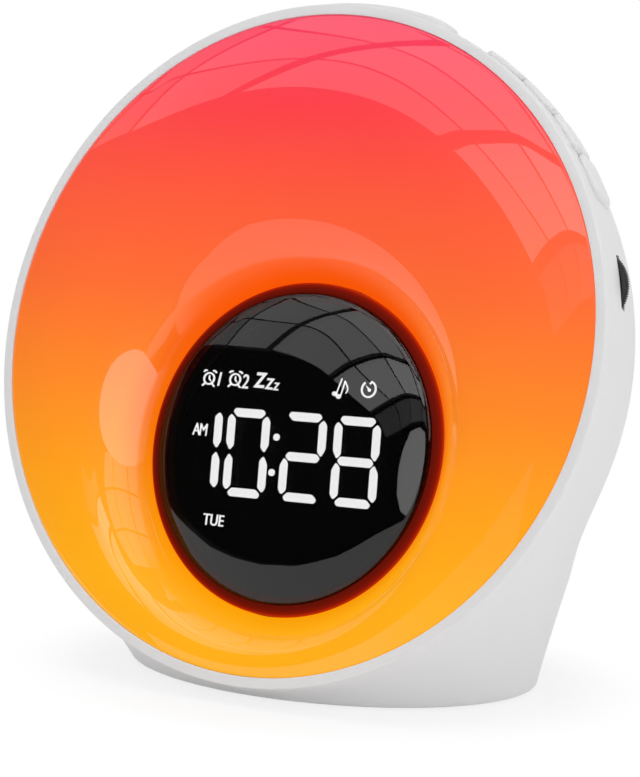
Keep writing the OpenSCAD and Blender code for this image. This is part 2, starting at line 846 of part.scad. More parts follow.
module plunger(x, board_y) {
  color("dimgray") translate([x, board_y + switch_h - plunger_deep, cap_z]) rotate([-90, 0, 0])
    cylinder(r = plunger_r, h = plunger_deep + plunger_up);
}

module bar_plungers() { at_clock(0) for (s = [-1, 1]) plunger(s * bar_switch_x, bar_board_y); }
module side_plunger_1() { at_clock(bank_angle) plunger(cap_x[0], side_board_y); }
module side_plunger_2() { at_clock(bank_angle) plunger(cap_x[1], side_board_y); }
module side_plunger_3() { at_clock(bank_angle) plunger(cap_x[2], side_board_y); }
module side_plunger_4() { at_clock(bank_angle) plunger(cap_x[3], side_board_y); }

module switch_body(x, board_y, travel) {
  difference() {
    translate([x - switch_w / 2, board_y, cap_z - switch_w / 2]) cube([switch_w, switch_h, switch_w]);
    translate([x, board_y + switch_h - plunger_deep - travel - 0.1, cap_z]) rotate([-90, 0, 0])
      cylinder(r = plunger_r + plunger_play, h = switch_h);
  }
}

module bar_switches() {
  color("black") at_clock(0) for (s = [-1, 1]) switch_body(s * bar_switch_x, bar_board_y, bar_travel);
}

module side_switches() {
  color("black") at_clock(bank_angle) for (x = cap_x) switch_body(x, side_board_y, cap_travel);
}

module switch_board(post_x, board_y) {
  half = post_x + post_l / 2;
  difference() {
    translate([-half, board_y - board_t, cap_z - switch_board_w / 2])
      cube([2 * half, board_t, switch_board_w]);
    switch_post_holes(post_x, board_y - board_t, board_t);
  }
}

module bar_switch_board() {
  color("darkgreen") at_clock(0) switch_board(bar_post_x, bar_board_y);
}

module side_switch_board() {
  color("darkgreen") at_clock(bank_angle) switch_board(side_post_x, side_board_y);
}

module switch_board_screws() {
  color("silver") for (s = [-1, 1]) {
    at_clock(0) translate([s * bar_post_x, bar_board_y - board_t, cap_z]) rotate([90, 0, 0])
      small_screw(board_t + post_grip);
    at_clock(bank_angle) translate([s * side_post_x, side_board_y - board_t, cap_z]) rotate([90, 0, 0])
      small_screw(board_t + post_grip);
  }
}

// ---- volume wheel ----

module volume_wheel() {
  outline = [for (i = [0:2 * knurls - 1])
    let (a = 180 * i / knurls, r = i % 2 == 0 ? wheel_r : wheel_r - knurl_depth) [r * cos(a), r * sin(a)]];
  color([0.15, 0.15, 0.15]) at_clock(wheel_angle) translate([0, wheel_y, wheel_z]) difference() {
    translate([0, 0, -wheel_t / 2]) linear_extrude(wheel_t) polygon(outline);
    translate([0, 0, -wheel_t]) cylinder(r = shaft_r + running, h = 2 * wheel_t);
    translate([0, 0, wheel_t / 2 - recess_t]) tube(wheel_r - recess_rim, shaft_r + hub_w, 2);
  }
}

// Turning control: its body and the fixed shaft that the wheel runs on
module volume_control() {
  color("gray") at_clock(wheel_angle) translate([0, wheel_y, volume_board_z]) {
    cylinder(r = control_r, h = control_t);
    cylinder(r = shaft_r, h = control_t + control_gap + wheel_t);
  }
}

module volume_board() {
  color("darkgreen") at_clock(wheel_angle) difference() {
    translate([-volume_board_w / 2, volume_board_y[0], volume_board_z - board_t])
      cube([volume_board_w, volume_board_y[1] - volume_board_y[0], board_t]);
    translate([0, volume_screw_y, volume_board_z - board_t - 1])
      cylinder(r = small_screw_r + thread_fit, h = board_t + 2);
  }
}

module volume_board_screw() {
  color("silver") at_clock(wheel_angle) translate([0, volume_screw_y, volume_board_z])
    small_screw(board_t + volume_screw_grip);
}

// ---- rear cover ----

module rear_cover() {
  color("whitesmoke") on_back() difference() {
    translate([0, 0, -cover_t]) cylinder(r = cover_r, h = cover_t);
    sound_hole(0, 0);
    for (ring = [1:sound_rings], k = [0:6 * ring - 1]) sound_hole(ring, 60 * k / ring);
    translate([socket_x, socket_y, -cover_t - 1]) cylinder(r = socket_nose_r + fit, h = cover_t + 2);
    for (a = [45:90:315]) rotate(a) translate([cover_screw_r, 0, 0]) {
      translate([0, 0, -cover_t - 1]) cylinder(r = screw_r + thread_fit, h = cover_t + 2);
      translate([0, 0, -head_h]) cylinder(r = head_r + fit, h = head_h + 1);
    }
  }
}

// One sound hole of a ring round the speaker's axis
module sound_hole(ring, angle) {
  translate([0, speaker_up, -cover_t - 1]) rotate([0, 0, angle])
    translate([ring * sound_pitch, 0, 0]) cylinder(r = sound_hole_d / 2, h = cover_t + 2);
}

module rear_screws() {
  color("silver") at_cover_screws() translate([0, 0, -head_h]) screw(screw_l);
}

module speaker_frame() {
  back = -cover_t - speaker_flange_t;
  floor_z = -cover_t - speaker_deep;
  hole_r = magnet_r - 4;
  color([0.2, 0.2, 0.2]) on_back() translate([0, speaker_up, 0]) rotate_extrude()
    polygon([
      [speaker_r, -cover_t], [speaker_r, back], [speaker_r - speaker_rim, back],
      [magnet_neck_r, floor_z], [hole_r, floor_z], [hole_r, floor_z + basket_t],
      [magnet_neck_r - 0.6, floor_z + basket_t], [speaker_r - speaker_rim - basket_t, back],
      [speaker_r - speaker_rim - basket_t, -cover_t]
    ]);
}

module speaker_cone() {
  edge = speaker_r - speaker_rim - basket_t;
  top = [
    [0, cone_dome - cone_deep], [cone_mid_r, -cone_deep],
    [edge - cone_roll, -cone_lip - 0.8], [edge, -cone_lip]
  ];
  color([0.1, 0.1, 0.1]) on_back() translate([0, speaker_up, -cover_t]) rotate_extrude()
    polygon(concat(top, [for (i = [3:-1:0]) top[i] - [0, cone_t]]));
}

module speaker_magnet() {
  color("gray") on_back() translate([0, speaker_up, -cover_t - speaker_deep - magnet_t])
    cylinder(r = magnet_r, h = magnet_t);
}

module power_socket() {
  color([0.12, 0.12, 0.12]) on_back() translate([socket_x, socket_y, 0]) {
    difference() {
      union() {
        translate([-socket_w / 2, -socket_h / 2, -cover_t - socket_l]) cube([socket_w, socket_h, socket_l]);
        translate([0, 0, -cover_t - 1]) cylinder(r = socket_nose_r, h = cover_t + 1);
      }
      translate([0, 0, -socket_deep]) cylinder(r = socket_bore / 2, h = socket_deep + 1);
    }
    translate([0, 0, -socket_deep - 1]) cylinder(r = socket_pin_r, h = socket_deep - 0.5);
  }
}

// ---- base ----

module base_plate() {
  cup_inside = cell_z + cell_t + spring_t;
  inset = wall + plate_play;
  color("whitesmoke") difference() {
    union() {
      translate([0, foot_y, plate_z]) linear_extrude(plate_t)
        polygon(ellipse(foot_w / 2 - inset, foot_d / 2 - inset));
      translate([0, foot_y + cell_y, plate_z + door_t + cup_t / 2])
        cylinder(r = door_r + 1, h = cup_inside + cup_t - plate_z - door_t - cup_t / 2);
    }
    translate([0, foot_y + cell_y, plate_z - 1])
      cylinder(r = door_r + door_play, h = 1 + door_t + door_play);
    translate([0, foot_y + cell_y, plate_z])
      cylinder(r = cell_d / 2 + cell_play, h = cup_inside - plate_z);
    at_pads() translate([0, 0, plate_z - 1]) cylinder(r = pad_d / 2 + fit, h = 1 + pad_sink);
    at_base_screws() translate([0, 0, plate_z - 1]) {
      cylinder(r = screw_r + thread_fit, h = plate_t + 2);
      cylinder(r = counter_r, h = 1 + counter_deep);
    }
  }
}

module base_screws() {
  color("silver") at_base_screws() translate([0, 0, plate_z + counter_deep])
    rotate([180, 0, 0]) screw(base_screw_l, screw_r, head_r, counter_deep - 0.1);
}

module rubber_feet() {
  color([0.25, 0.25, 0.25]) at_pads() cylinder(r = pad_d / 2, h = plate_z + pad_sink);
}

// Round door with a coin slot, turned to open
module battery_door() {
  color("whitesmoke") translate([0, foot_y + cell_y, plate_z]) difference() {
    union() {
      cylinder(r = door_r, h = door_t);
      cylinder(r = door_step_r, h = plate_t);
    }
    translate([-door_r * 0.6, -coin_slot_w / 2, -1]) cube([door_r * 1.2, coin_slot_w, 1 + coin_slot_deep]);
  }
}

module backup_cell() {
  color("silver") translate([0, foot_y + cell_y, cell_z]) {
    cylinder(r = cell_d / 2, h = cell_t * 0.75);
    cylinder(r = cell_d / 2 - 1.4, h = cell_t);
  }
}

module battery_spring() {
  color("goldenrod") translate([0, foot_y + cell_y, cell_z + cell_t]) cylinder(r = spring_r, h = spring_t);
}

housing_shell();
diffuser_lens();
display_ring();
display_window();
display_panel();
display_segments();
display_board();
display_shroud();
reflector_tray();
lamp_board();
lamp_leds();
tray_screws();
shroud_screws();
main_board();
controller_chip();
sound_chip();
capacitors();
board_plugs();
board_screws();
display_ribbon();
snooze_bar();
bar_plungers();
bar_switches();
bar_switch_board();
side_button_1();
side_button_2();
side_button_3();
side_button_4();
side_plunger_1();
side_plunger_2();
side_plunger_3();
side_plunger_4();
side_switches();
side_switch_board();
switch_board_screws();
volume_wheel();
volume_control();
volume_board();
volume_board_screw();
rear_cover();
rear_screws();
speaker_frame();
speaker_cone();
speaker_magnet();
power_socket();
base_plate();
base_screws();
rubber_feet();
battery_door();
backup_cell();
battery_spring();
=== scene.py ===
import json
import math

import bmesh
import bpy
import numpy as np
from mathutils import Matrix, Vector


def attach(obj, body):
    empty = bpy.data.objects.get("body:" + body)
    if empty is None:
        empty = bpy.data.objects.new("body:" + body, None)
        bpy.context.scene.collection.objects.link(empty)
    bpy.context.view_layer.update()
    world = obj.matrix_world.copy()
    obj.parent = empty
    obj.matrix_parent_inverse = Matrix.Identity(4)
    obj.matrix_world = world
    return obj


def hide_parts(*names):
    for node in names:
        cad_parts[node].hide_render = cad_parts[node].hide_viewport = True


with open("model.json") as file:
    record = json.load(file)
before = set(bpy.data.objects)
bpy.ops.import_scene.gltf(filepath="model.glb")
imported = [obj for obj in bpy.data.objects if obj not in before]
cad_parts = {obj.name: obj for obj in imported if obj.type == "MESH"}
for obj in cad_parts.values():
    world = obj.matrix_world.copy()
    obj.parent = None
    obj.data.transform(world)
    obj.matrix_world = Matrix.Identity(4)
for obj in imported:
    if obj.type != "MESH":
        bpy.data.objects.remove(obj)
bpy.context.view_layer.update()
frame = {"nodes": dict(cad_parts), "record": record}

# ---- sizes, in millimetres ----

MM = 0.001

# housing; the face is the plane of the rim, tilted back from upright
RIM_R = 92.0
BORE_R = 89.15
LENS_R = 89.0
TILT = 16.5              # degrees
FACE_Y = -18.435
FACE_H = 93.511
BACK_Y = 44.565
WALL = 2.5
LENS_SEAT = 3.0
LEDGE_R = 84.5
INSIDE_Z = -4.6
FOOT_A = 60.5            # half the foot's width
FOOT_B = 39.7            # half the foot's depth
FOOT_Y = 4.865
BLEND_H = 55.0           # height at which the foot has run into the dome
BLEND_R = 83.16
TABLE_GAP = 0.4
FOOT_POWER = 1.05        # how the foot flares; its front adds up to FRONT_POWER
FRONT_POWER = 0.25
FOOT_SOFT = 4.0          # softness of the line where the foot runs into the dome
FOOT_BEHIND = (0.6, 6.0)      # the foot sets in this far behind the rim
FOOT_FADE = (30.0, 66.0)      # heights over the table between which the foot fades out
RIM_ROUND = 0.45
BACK_ROUND = 1.6
BASE_ROUND = 0.7
BACK_WALL = 4.2

# lens and display
DISPLAY_DROP = 27.2
LIP_R = 45.4
LIP_DEPTH = 12.1
LENS_CROWN = 11.0
LENS_T = 3.0
LENS_EDGE = 0.25
DISH_RISE = 15.0         # the dish climbs this far from the lip, most of it within DISH_REACH
DISH_REACH = 8.0
DISH_SLOPE = 0.12
LENS_SOFT = 1.6          # softness of the line between the dish and the crown
WINDOW_R = 42.1
WINDOW_Z = -10.7
WINDOW_CREST = 9.0
WINDOW_EDGE = 2.5
WINDOW_T = 2.0
PANEL_R = 36.0
PANEL_Z = -11.2
RING_PLAY = 0.15
RING_FOOT = 1.8          # height of the ring's foot under the window's edge
RING_FOOT_W = 2.35
BORDER_W = 3.5           # printed border under the window's edge

# buttons; y is the distance from the face's middle and z that behind the face
CAP_Z = -11.5
CAP_W = 11.0
BAR_LEN = 63.0
CAP_PITCH = 13.5
CAP_GAP = 0.9
CAP_CORNER = 2.2
CAP_PLAY = 0.25
BAR_PROUD = 2.4
CAP_PROUD = 1.4
CAP_UNDER_R = 88.0       # underside of a cap, from the face's middle
FLANGE_PLAY = 0.3
FLANGE_W = 1.8           # how much wider than its cap a flange is
STEM_R = 1.7
BAR_PLUNGER_Y = 84.2
BAR_STEM_X = 15.5
BAR_LOW = 81.25          # the bar stays above its switch board when it is pressed
KEY_PLUNGER_Y = 81.7
BANK_ANGLE = 45.204      # degrees clockwise from the top, as the wheel's

# volume wheel
WHEEL_ANGLE = 75.429
WHEEL_R = 10.5
WHEEL_T = 2.0
WHEEL_Y = 82.591
WHEEL_Z = -12.9
SLOT_PLAY = 0.4
KNURLS = 100
KNURL_DEPTH = 0.42

# back and base
COVER_R = 62.05
COVER_T = 2.0
COVER_SEAT_R = 53.05
COVER_SCREW_R = 57.55
SCREW_HEAD_R = 2.4
SCREW_R = 1.25
SCREW_BORE = 1.3
GROOVE_R = 50.2
SOUND_R = 1.1
SOUND_RINGS = 4
SOUND_PITCH = 4.2
SPEAKER_UP = -7.0
SOCKET_X, SOCKET_Y = -18.0, -40.0
SOCKET_NOSE_R = 3.9
PLATE_Z = 0.8
PLATE_T = 2.2
PAD_R = 6.0
PAD_X, PAD_Y = 36.0, 18.0
BASE_SCREWS = [(46, 2), (-46, 2), (24, -25), (-24, -25)]
DOOR_R = 12.0
DOOR_Y = 6.0
CUP_DEEP = 8.4           # the cup that holds the coin cell, and its well
WELL_R, WELL_DEEP = 10.4, 7.2

# ---- frames: millimetres in a local frame to metres in the row frame ----


def at(x, y, z=0.0):
    return Matrix.Translation((x, y, z))


def turned_by(degrees, axis):
    return Matrix.Rotation(math.radians(degrees), 4, axis)


SCALE = Matrix.Scale(MM, 4)
WORLD = Matrix.Identity(4)
FACE = at(0, FACE_Y, FACE_H) @ turned_by(90 - TILT, "X")
DISPLAY = FACE @ at(0, -DISPLAY_DROP)
BACK = at(0, BACK_Y, FACE_H) @ turned_by(180, "Z") @ turned_by(90, "X")
FRONT_AXIS = FACE.to_3x3() @ Vector((0, 0, 1))


def clock(angle):
    """A place on the wall, clockwise from the top: y points out of the wall."""
    return FACE @ turned_by(-angle, "Z")


WHEEL = clock(WHEEL_ANGLE) @ at(0, WHEEL_Y, WHEEL_Z)


# ---- shader writing ----


class Signal:
    """A value that varies over a surface; sums on it add Math nodes."""

    def __init__(self, finish, socket):
        self.finish = finish
        self.socket = socket

    def math(self, operation, *values):
        return self.finish.node("Math", {"operation": operation}, dict(enumerate(values)))

    def __add__(self, other):
        return self.math("ADD", self, other)

    __radd__ = __add__

    def __sub__(self, other):
        return self.math("SUBTRACT", self, other)

    def __rsub__(self, other):
        return self.math("SUBTRACT", other, self)

    def __mul__(self, other):
        return self.math("MULTIPLY", self, other)

    __rmul__ = __mul__

    def __truediv__(self, other):
        return self.math("DIVIDE", self, other)

    def between(self, low, high):
        """0 below low, 1 above high, and a soft step between."""
        return self.finish.node("MapRange", {"interpolation_type": "SMOOTHSTEP"},
                                {"Value": self, "From Min": low, "From Max": high})


class Finish:
    """One material's nodes."""

    def __init__(self, name):
        self.material = bpy.data.materials.new(name)
        self.material.use_nodes = True
        self.tree = self.material.node_tree
        self.tree.nodes.clear()

    def node(self, kind, settings=None, values=None, out=0):
        """Adds a node, sets it, gives its sockets their values or links, and returns one of its outputs."""
        node = self.tree.nodes.new("ShaderNode" + kind)
        for key, value in (settings or {}).items():
            if key == "stops":
                ramp = node.color_ramp
                while len(ramp.elements) < len(value):
                    ramp.elements.new(0.5)
                for element, (place, colour) in zip(ramp.elements, value):
                    element.position = place
                    element.color = (*colour, 1.0)
            else:
                setattr(node, key, value)
        for key, value in (values or {}).items():
            if isinstance(value, Signal):
                self.tree.links.new(value.socket, node.inputs[key])
            elif isinstance(value, tuple) and len(value) == 3 and node.inputs[key].type == "RGBA":
                node.inputs[key].default_value = (*value, 1.0)
            else:
                node.inputs[key].default_value = value
        return Signal(self, node.outputs[out])

    def place(self):
        """The point on the piece, in metres."""
        return self.node("TexCoord", out="Object")

    def axis(self, point, name):
        return self.node("SeparateXYZ", values={"Vector": point}, out=name)

    def noise(self, point, size, detail=2.0, roughness=0.5):
        """Noise from 0 to 1 whose lumps are about that many metres apart."""
        return self.node("TexNoise", values={"Vector": point, "Scale": 1.0 / size, "Detail": detail,
                                             "Roughness": roughness}, out="Fac")

    def mix(self, factor, first, second):
        """A colour between two colours."""
        return self.node("Mix", {"data_type": "RGBA"}, {"Factor": factor, 6: first, 7: second}, out=2)

    def bump(self, height, depth):
        return self.node("Bump", values={"Height": height, "Distance": depth, "Strength": 1.0})

    def surface(self, **sockets):
        """Ends the material in one Principled shader; an underscore in a name stands for a space."""
        shader = self.node("BsdfPrincipled", values={k.replace("_", " "): v for k, v in sockets.items()})
        return self.ends_in(shader)

    def ends_in(self, shader):
        output = self.tree.nodes.new("ShaderNodeOutputMaterial")
        self.tree.links.new(shader.socket, output.inputs["Surface"])
        return self.material


def srgb(red, green, blue):
    """A colour given in 0-255 screen steps, as light."""
    return tuple(((c / 255 + 0.055) / 1.055) ** 2.4 if c > 10 else c / 255 / 12.92 for c in (red, green, blue))


def moulded(name, colour, rough, grain, depth, tint=0.03, shine=0.5):
    """Moulded plastic or rubber: a fine grain, with faint drifts of tone and gloss."""
    finish = Finish(name)
    point = finish.place()
    drift = finish.noise(point, 0.03, 3.0)
    fine = finish.noise(point, grain, roughness=0.6)
    dark = tuple(c * (1 - tint) for c in colour)
    light = tuple(min(1.0, c * (1 + tint)) for c in colour)
    return finish.surface(
        Base_Color=finish.mix(drift, dark, light),
        Roughness=rough + (drift - 0.5) * 0.06 + (fine - 0.5) * 0.05,
        Specular_IOR_Level=shine, Normal=finish.bump(fine, depth))


def metal(name, colour, rough):
    """Bare or plated metal with fine rubbed streaks."""
    finish = Finish(name)
    stretched = finish.node("Mapping", values={"Vector": finish.place(), "Scale": (1, 1, 12)})
    streaks = finish.noise(stretched, 0.0072, 4.0, 0.7)
    stain = finish.noise(finish.place(), 0.008, 3.0)
    return finish.surface(
        Base_Color=finish.mix(stain, tuple(c * 0.88 for c in colour), colour),
        Metallic=1.0, Roughness=rough + (streaks - 0.5) * 0.2,
        Normal=finish.bump(streaks, 0.00002))


# ---- finishes ----

WHITE = (0.77, 0.77, 0.775)
GLOW = [  # height over the table in metres, and the colour that the lens glows in
    (0.006, srgb(255, 176, 10)), (0.030, srgb(255, 174, 8)), (0.0546, srgb(255, 160, 14)),
    (0.081, srgb(255, 136, 32)), (0.107, srgb(255, 108, 46)), (0.134, srgb(255, 86, 58)),
    (0.154, srgb(253, 62, 70)), (0.168, srgb(248, 52, 80)), (0.180, srgb(242, 42, 88)),
]
LIP_GLOW = [  # the same close to the lip, where the lens is steep and glows deeper
    (0.018, srgb(255, 170, 0)), (0.045, srgb(255, 150, 0)), (0.070, srgb(255, 120, 0)),
    (0.095, srgb(255, 96, 0)), (0.118, srgb(255, 84, 0)),
]


def by_height(finish, point, colours):
    low, high = colours[0][0], colours[-1][0]
    stops = [((z - low) / (high - low), colour) for z, colour in colours]
    return finish.node("ValToRGB", {"stops": stops}, {"Fac": (finish.axis(point, "Z") - low) / (high - low)})


def display_reach(finish, point):
    """Distance from the display's axis, in metres."""
    upright = finish.node("Mapping", {"vector_type": "TEXTURE"}, {
        "Vector": point, "Location": tuple(DISPLAY.translation * MM), "Rotation": tuple(DISPLAY.to_euler())})
    flat = finish.node("VectorMath", {"operation": "MULTIPLY"}, {0: upright, 1: (1, 1, 0)})
    return finish.node("VectorMath", {"operation": "LENGTH"}, {0: flat}, out="Value")


def lens_finish():
    finish = Finish("lens_plastic")
    point = finish.place()
    reach = display_reach(finish, point)
    near_lip = 1 - reach.between(0.0462, 0.0525)
    glow = finish.mix(near_lip, by_height(finish, point, GLOW), by_height(finish, point, LIP_GLOW))
    cloud = finish.noise(point, 0.05)
    base = finish.mix(cloud * 0.1 + 0.62, glow, (0.02, 0.008, 0.006))
    fine = finish.noise(point, 0.0012)
    # the coat, which mirrors the room, is full on the dish and on the left and turned down at the lower right; this
    # mask sets where the lens shows reflections, and all bounds are in metres
    side, height = finish.axis(point, "X"), finish.axis(point, "Z")
    left = 1 - side.between(-0.042, -0.030)
    dish = (reach - side.between(0.0, 0.03) * 0.0025).between(0.0500, 0.0511)
    coat_turned_down = side.between(0.036, 0.056) * (1 - height.between(0.060, 0.078))
    polish = (dish + (1 - dish) * left * reach.between(0.0456, 0.0466)) * (1 - coat_turned_down * 0.7)
    return finish.surface(
        Base_Color=base, Emission_Color=glow, Emission_Strength=0.74,
        Roughness=0.34 + (fine - 0.5) * 0.04, IOR=1.46, Coat_Weight=0.06 + polish * 0.94,
        Coat_Roughness=0.02, Coat_IOR=1.5, Specular_IOR_Level=0.12)


def ring_painted_glow_finish():
    """Dark red plastic; its emission is painted glow, the lens's light on it, brightest towards its outer edge."""
    finish = Finish("ring_plastic")
    point = finish.place()
    drift = finish.noise(point, 0.02)
    share = (display_reach(finish, point) - WINDOW_R * MM) / 0.0032
    # painted glow from the lens: dark red at the window's edge, rising to orange at the ring's outer edge
    stops = [(0.0, srgb(78, 11, 2)), (0.45, srgb(98, 12, 2)), (0.75, srgb(128, 18, 2)), (1.0, srgb(196, 46, 4))]
    glow = finish.node("ValToRGB", {"stops": stops}, {"Fac": share})
    return finish.surface(
        Base_Color=finish.mix(drift, (0.020, 0.001, 0.0005), (0.028, 0.0015, 0.0006)),
        Emission_Color=glow, Emission_Strength=1.05, Roughness=0.5 + drift * 0.06, Specular_IOR_Level=0.03)


def window_finish():
    """Smoked clear plastic, dark enough to hide what is unlit behind it."""
    finish = Finish("window_plastic")
    drift = finish.noise(finish.place(), 0.03)
    return finish.surface(
        Base_Color=finish.mix(drift, (0.002, 0.002, 0.0022), (0.003, 0.003, 0.0032)), Alpha=0.7,
        Roughness=0.012 + drift * 0.01, IOR=1.62)


def panel_finish():
    """The matt front of the lit display."""
    finish = Finish("display_panel")
    fine = finish.noise(finish.place(), 0.0004)
    return finish.surface(
        Base_Color=finish.mix(fine, (0.003, 0.003, 0.003), (0.006, 0.006, 0.006)), Roughness=0.8,
        Specular_IOR_Level=0.1)


def digit_finish():
    finish = Finish("digit_plastic")
    drift = finish.noise(finish.place(), 0.002)
    return finish.surface(
        Base_Color=(0.8, 0.8, 0.8), Roughness=0.5,
        Emission_Color=finish.mix(drift, (0.96, 0.96, 0.97), (1.0, 1.0, 1.0)), Emission_Strength=9.3)


def board_finish(name, mask, copper):
    finish = Finish(name)
    point = finish.place()
    weave = finish.noise(point, 0.0009, 3.0)
    traces = finish.node("TexVoronoi", {"feature": "DISTANCE_TO_EDGE"}, {"Vector": point, "Scale": 260.0})
    line = 1 - traces.between(0.03, 0.09)
    return finish.surface(
        Base_Color=finish.mix(line * 0.6, mask, copper), Roughness=0.34 + weave * 0.12,
        Normal=finish.bump(line + weave * 0.2, 0.00004))


MOULDED = {    # colour, roughness, size and depth of the grain in metres, drift of tone, level of the shine
    "housing_plastic": (WHITE, 0.42, 0.0006, 0.000003, 0.008, 0.45),
    "black_plastic": ((0.012, 0.012, 0.013), 0.5, 0.0008, 0.00002, 0.1),
    "reflector_plastic": ((0.84, 0.84, 0.82), 0.5, 0.001, 0.00001),
    "lamp_body": ((0.88, 0.78, 0.36), 0.3, 0.0006, 0.00001, 0.06),
    "chip_plastic": ((0.02, 0.02, 0.021), 0.55, 0.0004, 0.00002, 0.1),
    "capacitor_sleeve": ((0.02, 0.04, 0.16), 0.25, 0.002, 0.00001, 0.08),
    "plug_plastic": ((0.78, 0.73, 0.58), 0.4, 0.0008, 0.00001),
    "ribbon_film": ((0.66, 0.66, 0.66), 0.35, 0.001, 0.00001),
    "wheel_plastic": ((0.026, 0.026, 0.028), 0.40, 0.0005, 0.00002, 0.12),
    "speaker_metal": ((0.05, 0.05, 0.05), 0.45, 0.0008, 0.00002, 0.08),
    "cone_paper": ((0.04, 0.04, 0.042), 0.85, 0.0007, 0.00006, 0.2),
    "magnet_metal": ((0.16, 0.16, 0.165), 0.6, 0.0009, 0.00004, 0.12),
    "foot_rubber": ((0.06, 0.06, 0.062), 0.75, 0.0008, 0.00004, 0.1),
}
METALS = {    # colour and roughness
    "screw_steel": ((0.62, 0.62, 0.63), 0.3), "control_metal": ((0.6, 0.6, 0.61), 0.35),
    "cell_metal": ((0.68, 0.68, 0.68), 0.25), "contact_metal": ((0.75, 0.58, 0.24), 0.3),
}
BOARDS = {    # colours of the coating and of the tracks under it
    "circuit_board": ((0.02, 0.13, 0.05), (0.10, 0.30, 0.10)),
    "lamp_board_coating": ((0.82, 0.82, 0.78), (0.88, 0.87, 0.80)),
}
FINISH = {"lens_plastic": lens_finish(), "ring_plastic": ring_painted_glow_finish(), "window_plastic": window_finish(),
          "digit_plastic": digit_finish()}
for table, make in ((MOULDED, moulded), (METALS, metal), (BOARDS, board_finish)):
    FINISH.update({name: make(name, *row) for name, row in table.items()})

NODE_SLOTS = {part["node"]: part["material_slot"] for part in frame["record"]["subparts"]}

# ---- mesh helpers ----


def turned(profile, steps):
    """A closed outline of (radius, height) points, turned about z."""
    bm = bmesh.new()
    verts = [bm.verts.new((r, 0, z)) for r, z in profile]
    edges = [bm.edges.new(pair) for pair in zip(verts, verts[1:] + verts[:1])]
    edges = [e for e in edges if max(abs(v.co.x) for v in e.verts) > 1e-6]
    bmesh.ops.spin(bm, geom=verts + edges, axis=(0, 0, 1), cent=(0, 0, 0), angle=2 * math.pi,
                   steps=steps, use_merge=True)
    bmesh.ops.remove_doubles(bm, verts=bm.verts, dist=1e-4)
    bmesh.ops.dissolve_degenerate(bm, edges=bm.edges, dist=1e-5)
    loose = [e for e in bm.edges if not e.link_faces]
    bmesh.ops.delete(bm, geom=loose, context="EDGES")
    bmesh.ops.recalc_face_normals(bm, faces=bm.faces)
    return bm


def arc(x, z, radius, start, end, steps):
    """Points on an arc from one angle to another, in degrees."""
    angles = [math.radians(start + (end - start) * i / steps) for i in range(steps + 1)]
    return [(x + radius * math.cos(a), z + radius * math.sin(a)) for a in angles]


def verts_in(geom):
    return [part for part in geom if isinstance(part, bmesh.types.BMVert)]


def slab(points, z0, z1):
    """A flat outline of (x, y) points, stretched from z0 to z1."""
    bm = bmesh.new()
    face = bm.faces.new([bm.verts.new((x, y, z0)) for x, y in points])
    face.normal_update()
    top = bmesh.ops.extrude_face_region(bm, geom=[face])["geom"]
    bmesh.ops.translate(bm, verts=verts_in(top), vec=(0, 0, z1 - z0))
    bmesh.ops.recalc_face_normals(bm, faces=bm.faces)
    return bm


def rounded_points(length, width, corner, steps=8):
    """The outline of a rounded rectangle."""
    points = []
    for sx, sy, start in ((1, 1, 0), (-1, 1, 90), (-1, -1, 180), (1, -1, 270)):
        points += arc(sx * (length / 2 - corner), sy * (width / 2 - corner), corner, start, start + 90, steps)
    return points


def moved(bm, place):
    bm.transform(place)
    return bm


def mesh_of(name, bm):
    mesh = bpy.data.meshes.new(name)
    bm.to_mesh(mesh)
    bm.free()
    return mesh


def put(name, data):
    """A new object in the scene."""
    thing = bpy.data.objects.new(name, data)
    bpy.context.scene.collection.objects.link(thing)
    return thing


def joined(*parts):
    """Several meshes in one."""
    bm = bmesh.new()
    for part in parts:
        mesh = mesh_of("part", part)
        bm.from_mesh(mesh)
        bpy.data.meshes.remove(mesh)
    return bm


def carved(operation, bm, *tools):
    """bm after each tool is cut from it (DIFFERENCE) or joined to it (UNION)."""
    objects = [put("carve", mesh_of("carve", part)) for part in (bm, *tools)]
    body = objects[0]
    for tool in objects[1:]:
        modifier = body.modifiers.new("carve", "BOOLEAN")
        modifier.operation = operation
        modifier.solver = "MANIFOLD"
        modifier.object = tool
    result = bmesh.new()
    result.from_object(body, bpy.context.evaluated_depsgraph_get())
    for thing in objects:
        mesh = thing.data
        bpy.data.objects.remove(thing)
        bpy.data.meshes.remove(mesh)
    return result


def softened(bm, width, segments, angle):
    """Rounds the edges that are sharper than an angle."""
    edges = [e for e in bm.edges if len(e.link_faces) == 2 and e.calc_face_angle(0) > math.radians(angle)]
    bmesh.ops.bevel(bm, geom=edges, offset=width, offset_type="OFFSET", segments=segments, profile=0.5,
                    affect="EDGES", material=-1, clamp_overlap=True)
    return bm


def piece(name, bm, place, body, nodes, slot, crease):
    """Puts a finished mesh on its body, in metres in the row frame, in place of the CAD nodes. Edges turned by
    more than crease degrees stay sharp."""
    bm.transform(SCALE @ place)
    bmesh.ops.recalc_face_normals(bm, faces=bm.faces)
    for face in bm.faces:
        face.smooth = True
    for edge in bm.edges:
        if len(edge.link_faces) == 2 and edge.calc_face_angle(0) > math.radians(crease):
            edge.smooth = False
    thing = put(name, mesh_of(name, bm))
    thing.data.materials.append(FINISH[slot])
    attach(thing, body)
    if nodes:
        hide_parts(*nodes)
    return thing


# ---- housing ----


def smooth_step(low, high, x):
    t = np.clip((x - low) / (high - low), 0, 1)
    return t * t * (3 - 2 * t)


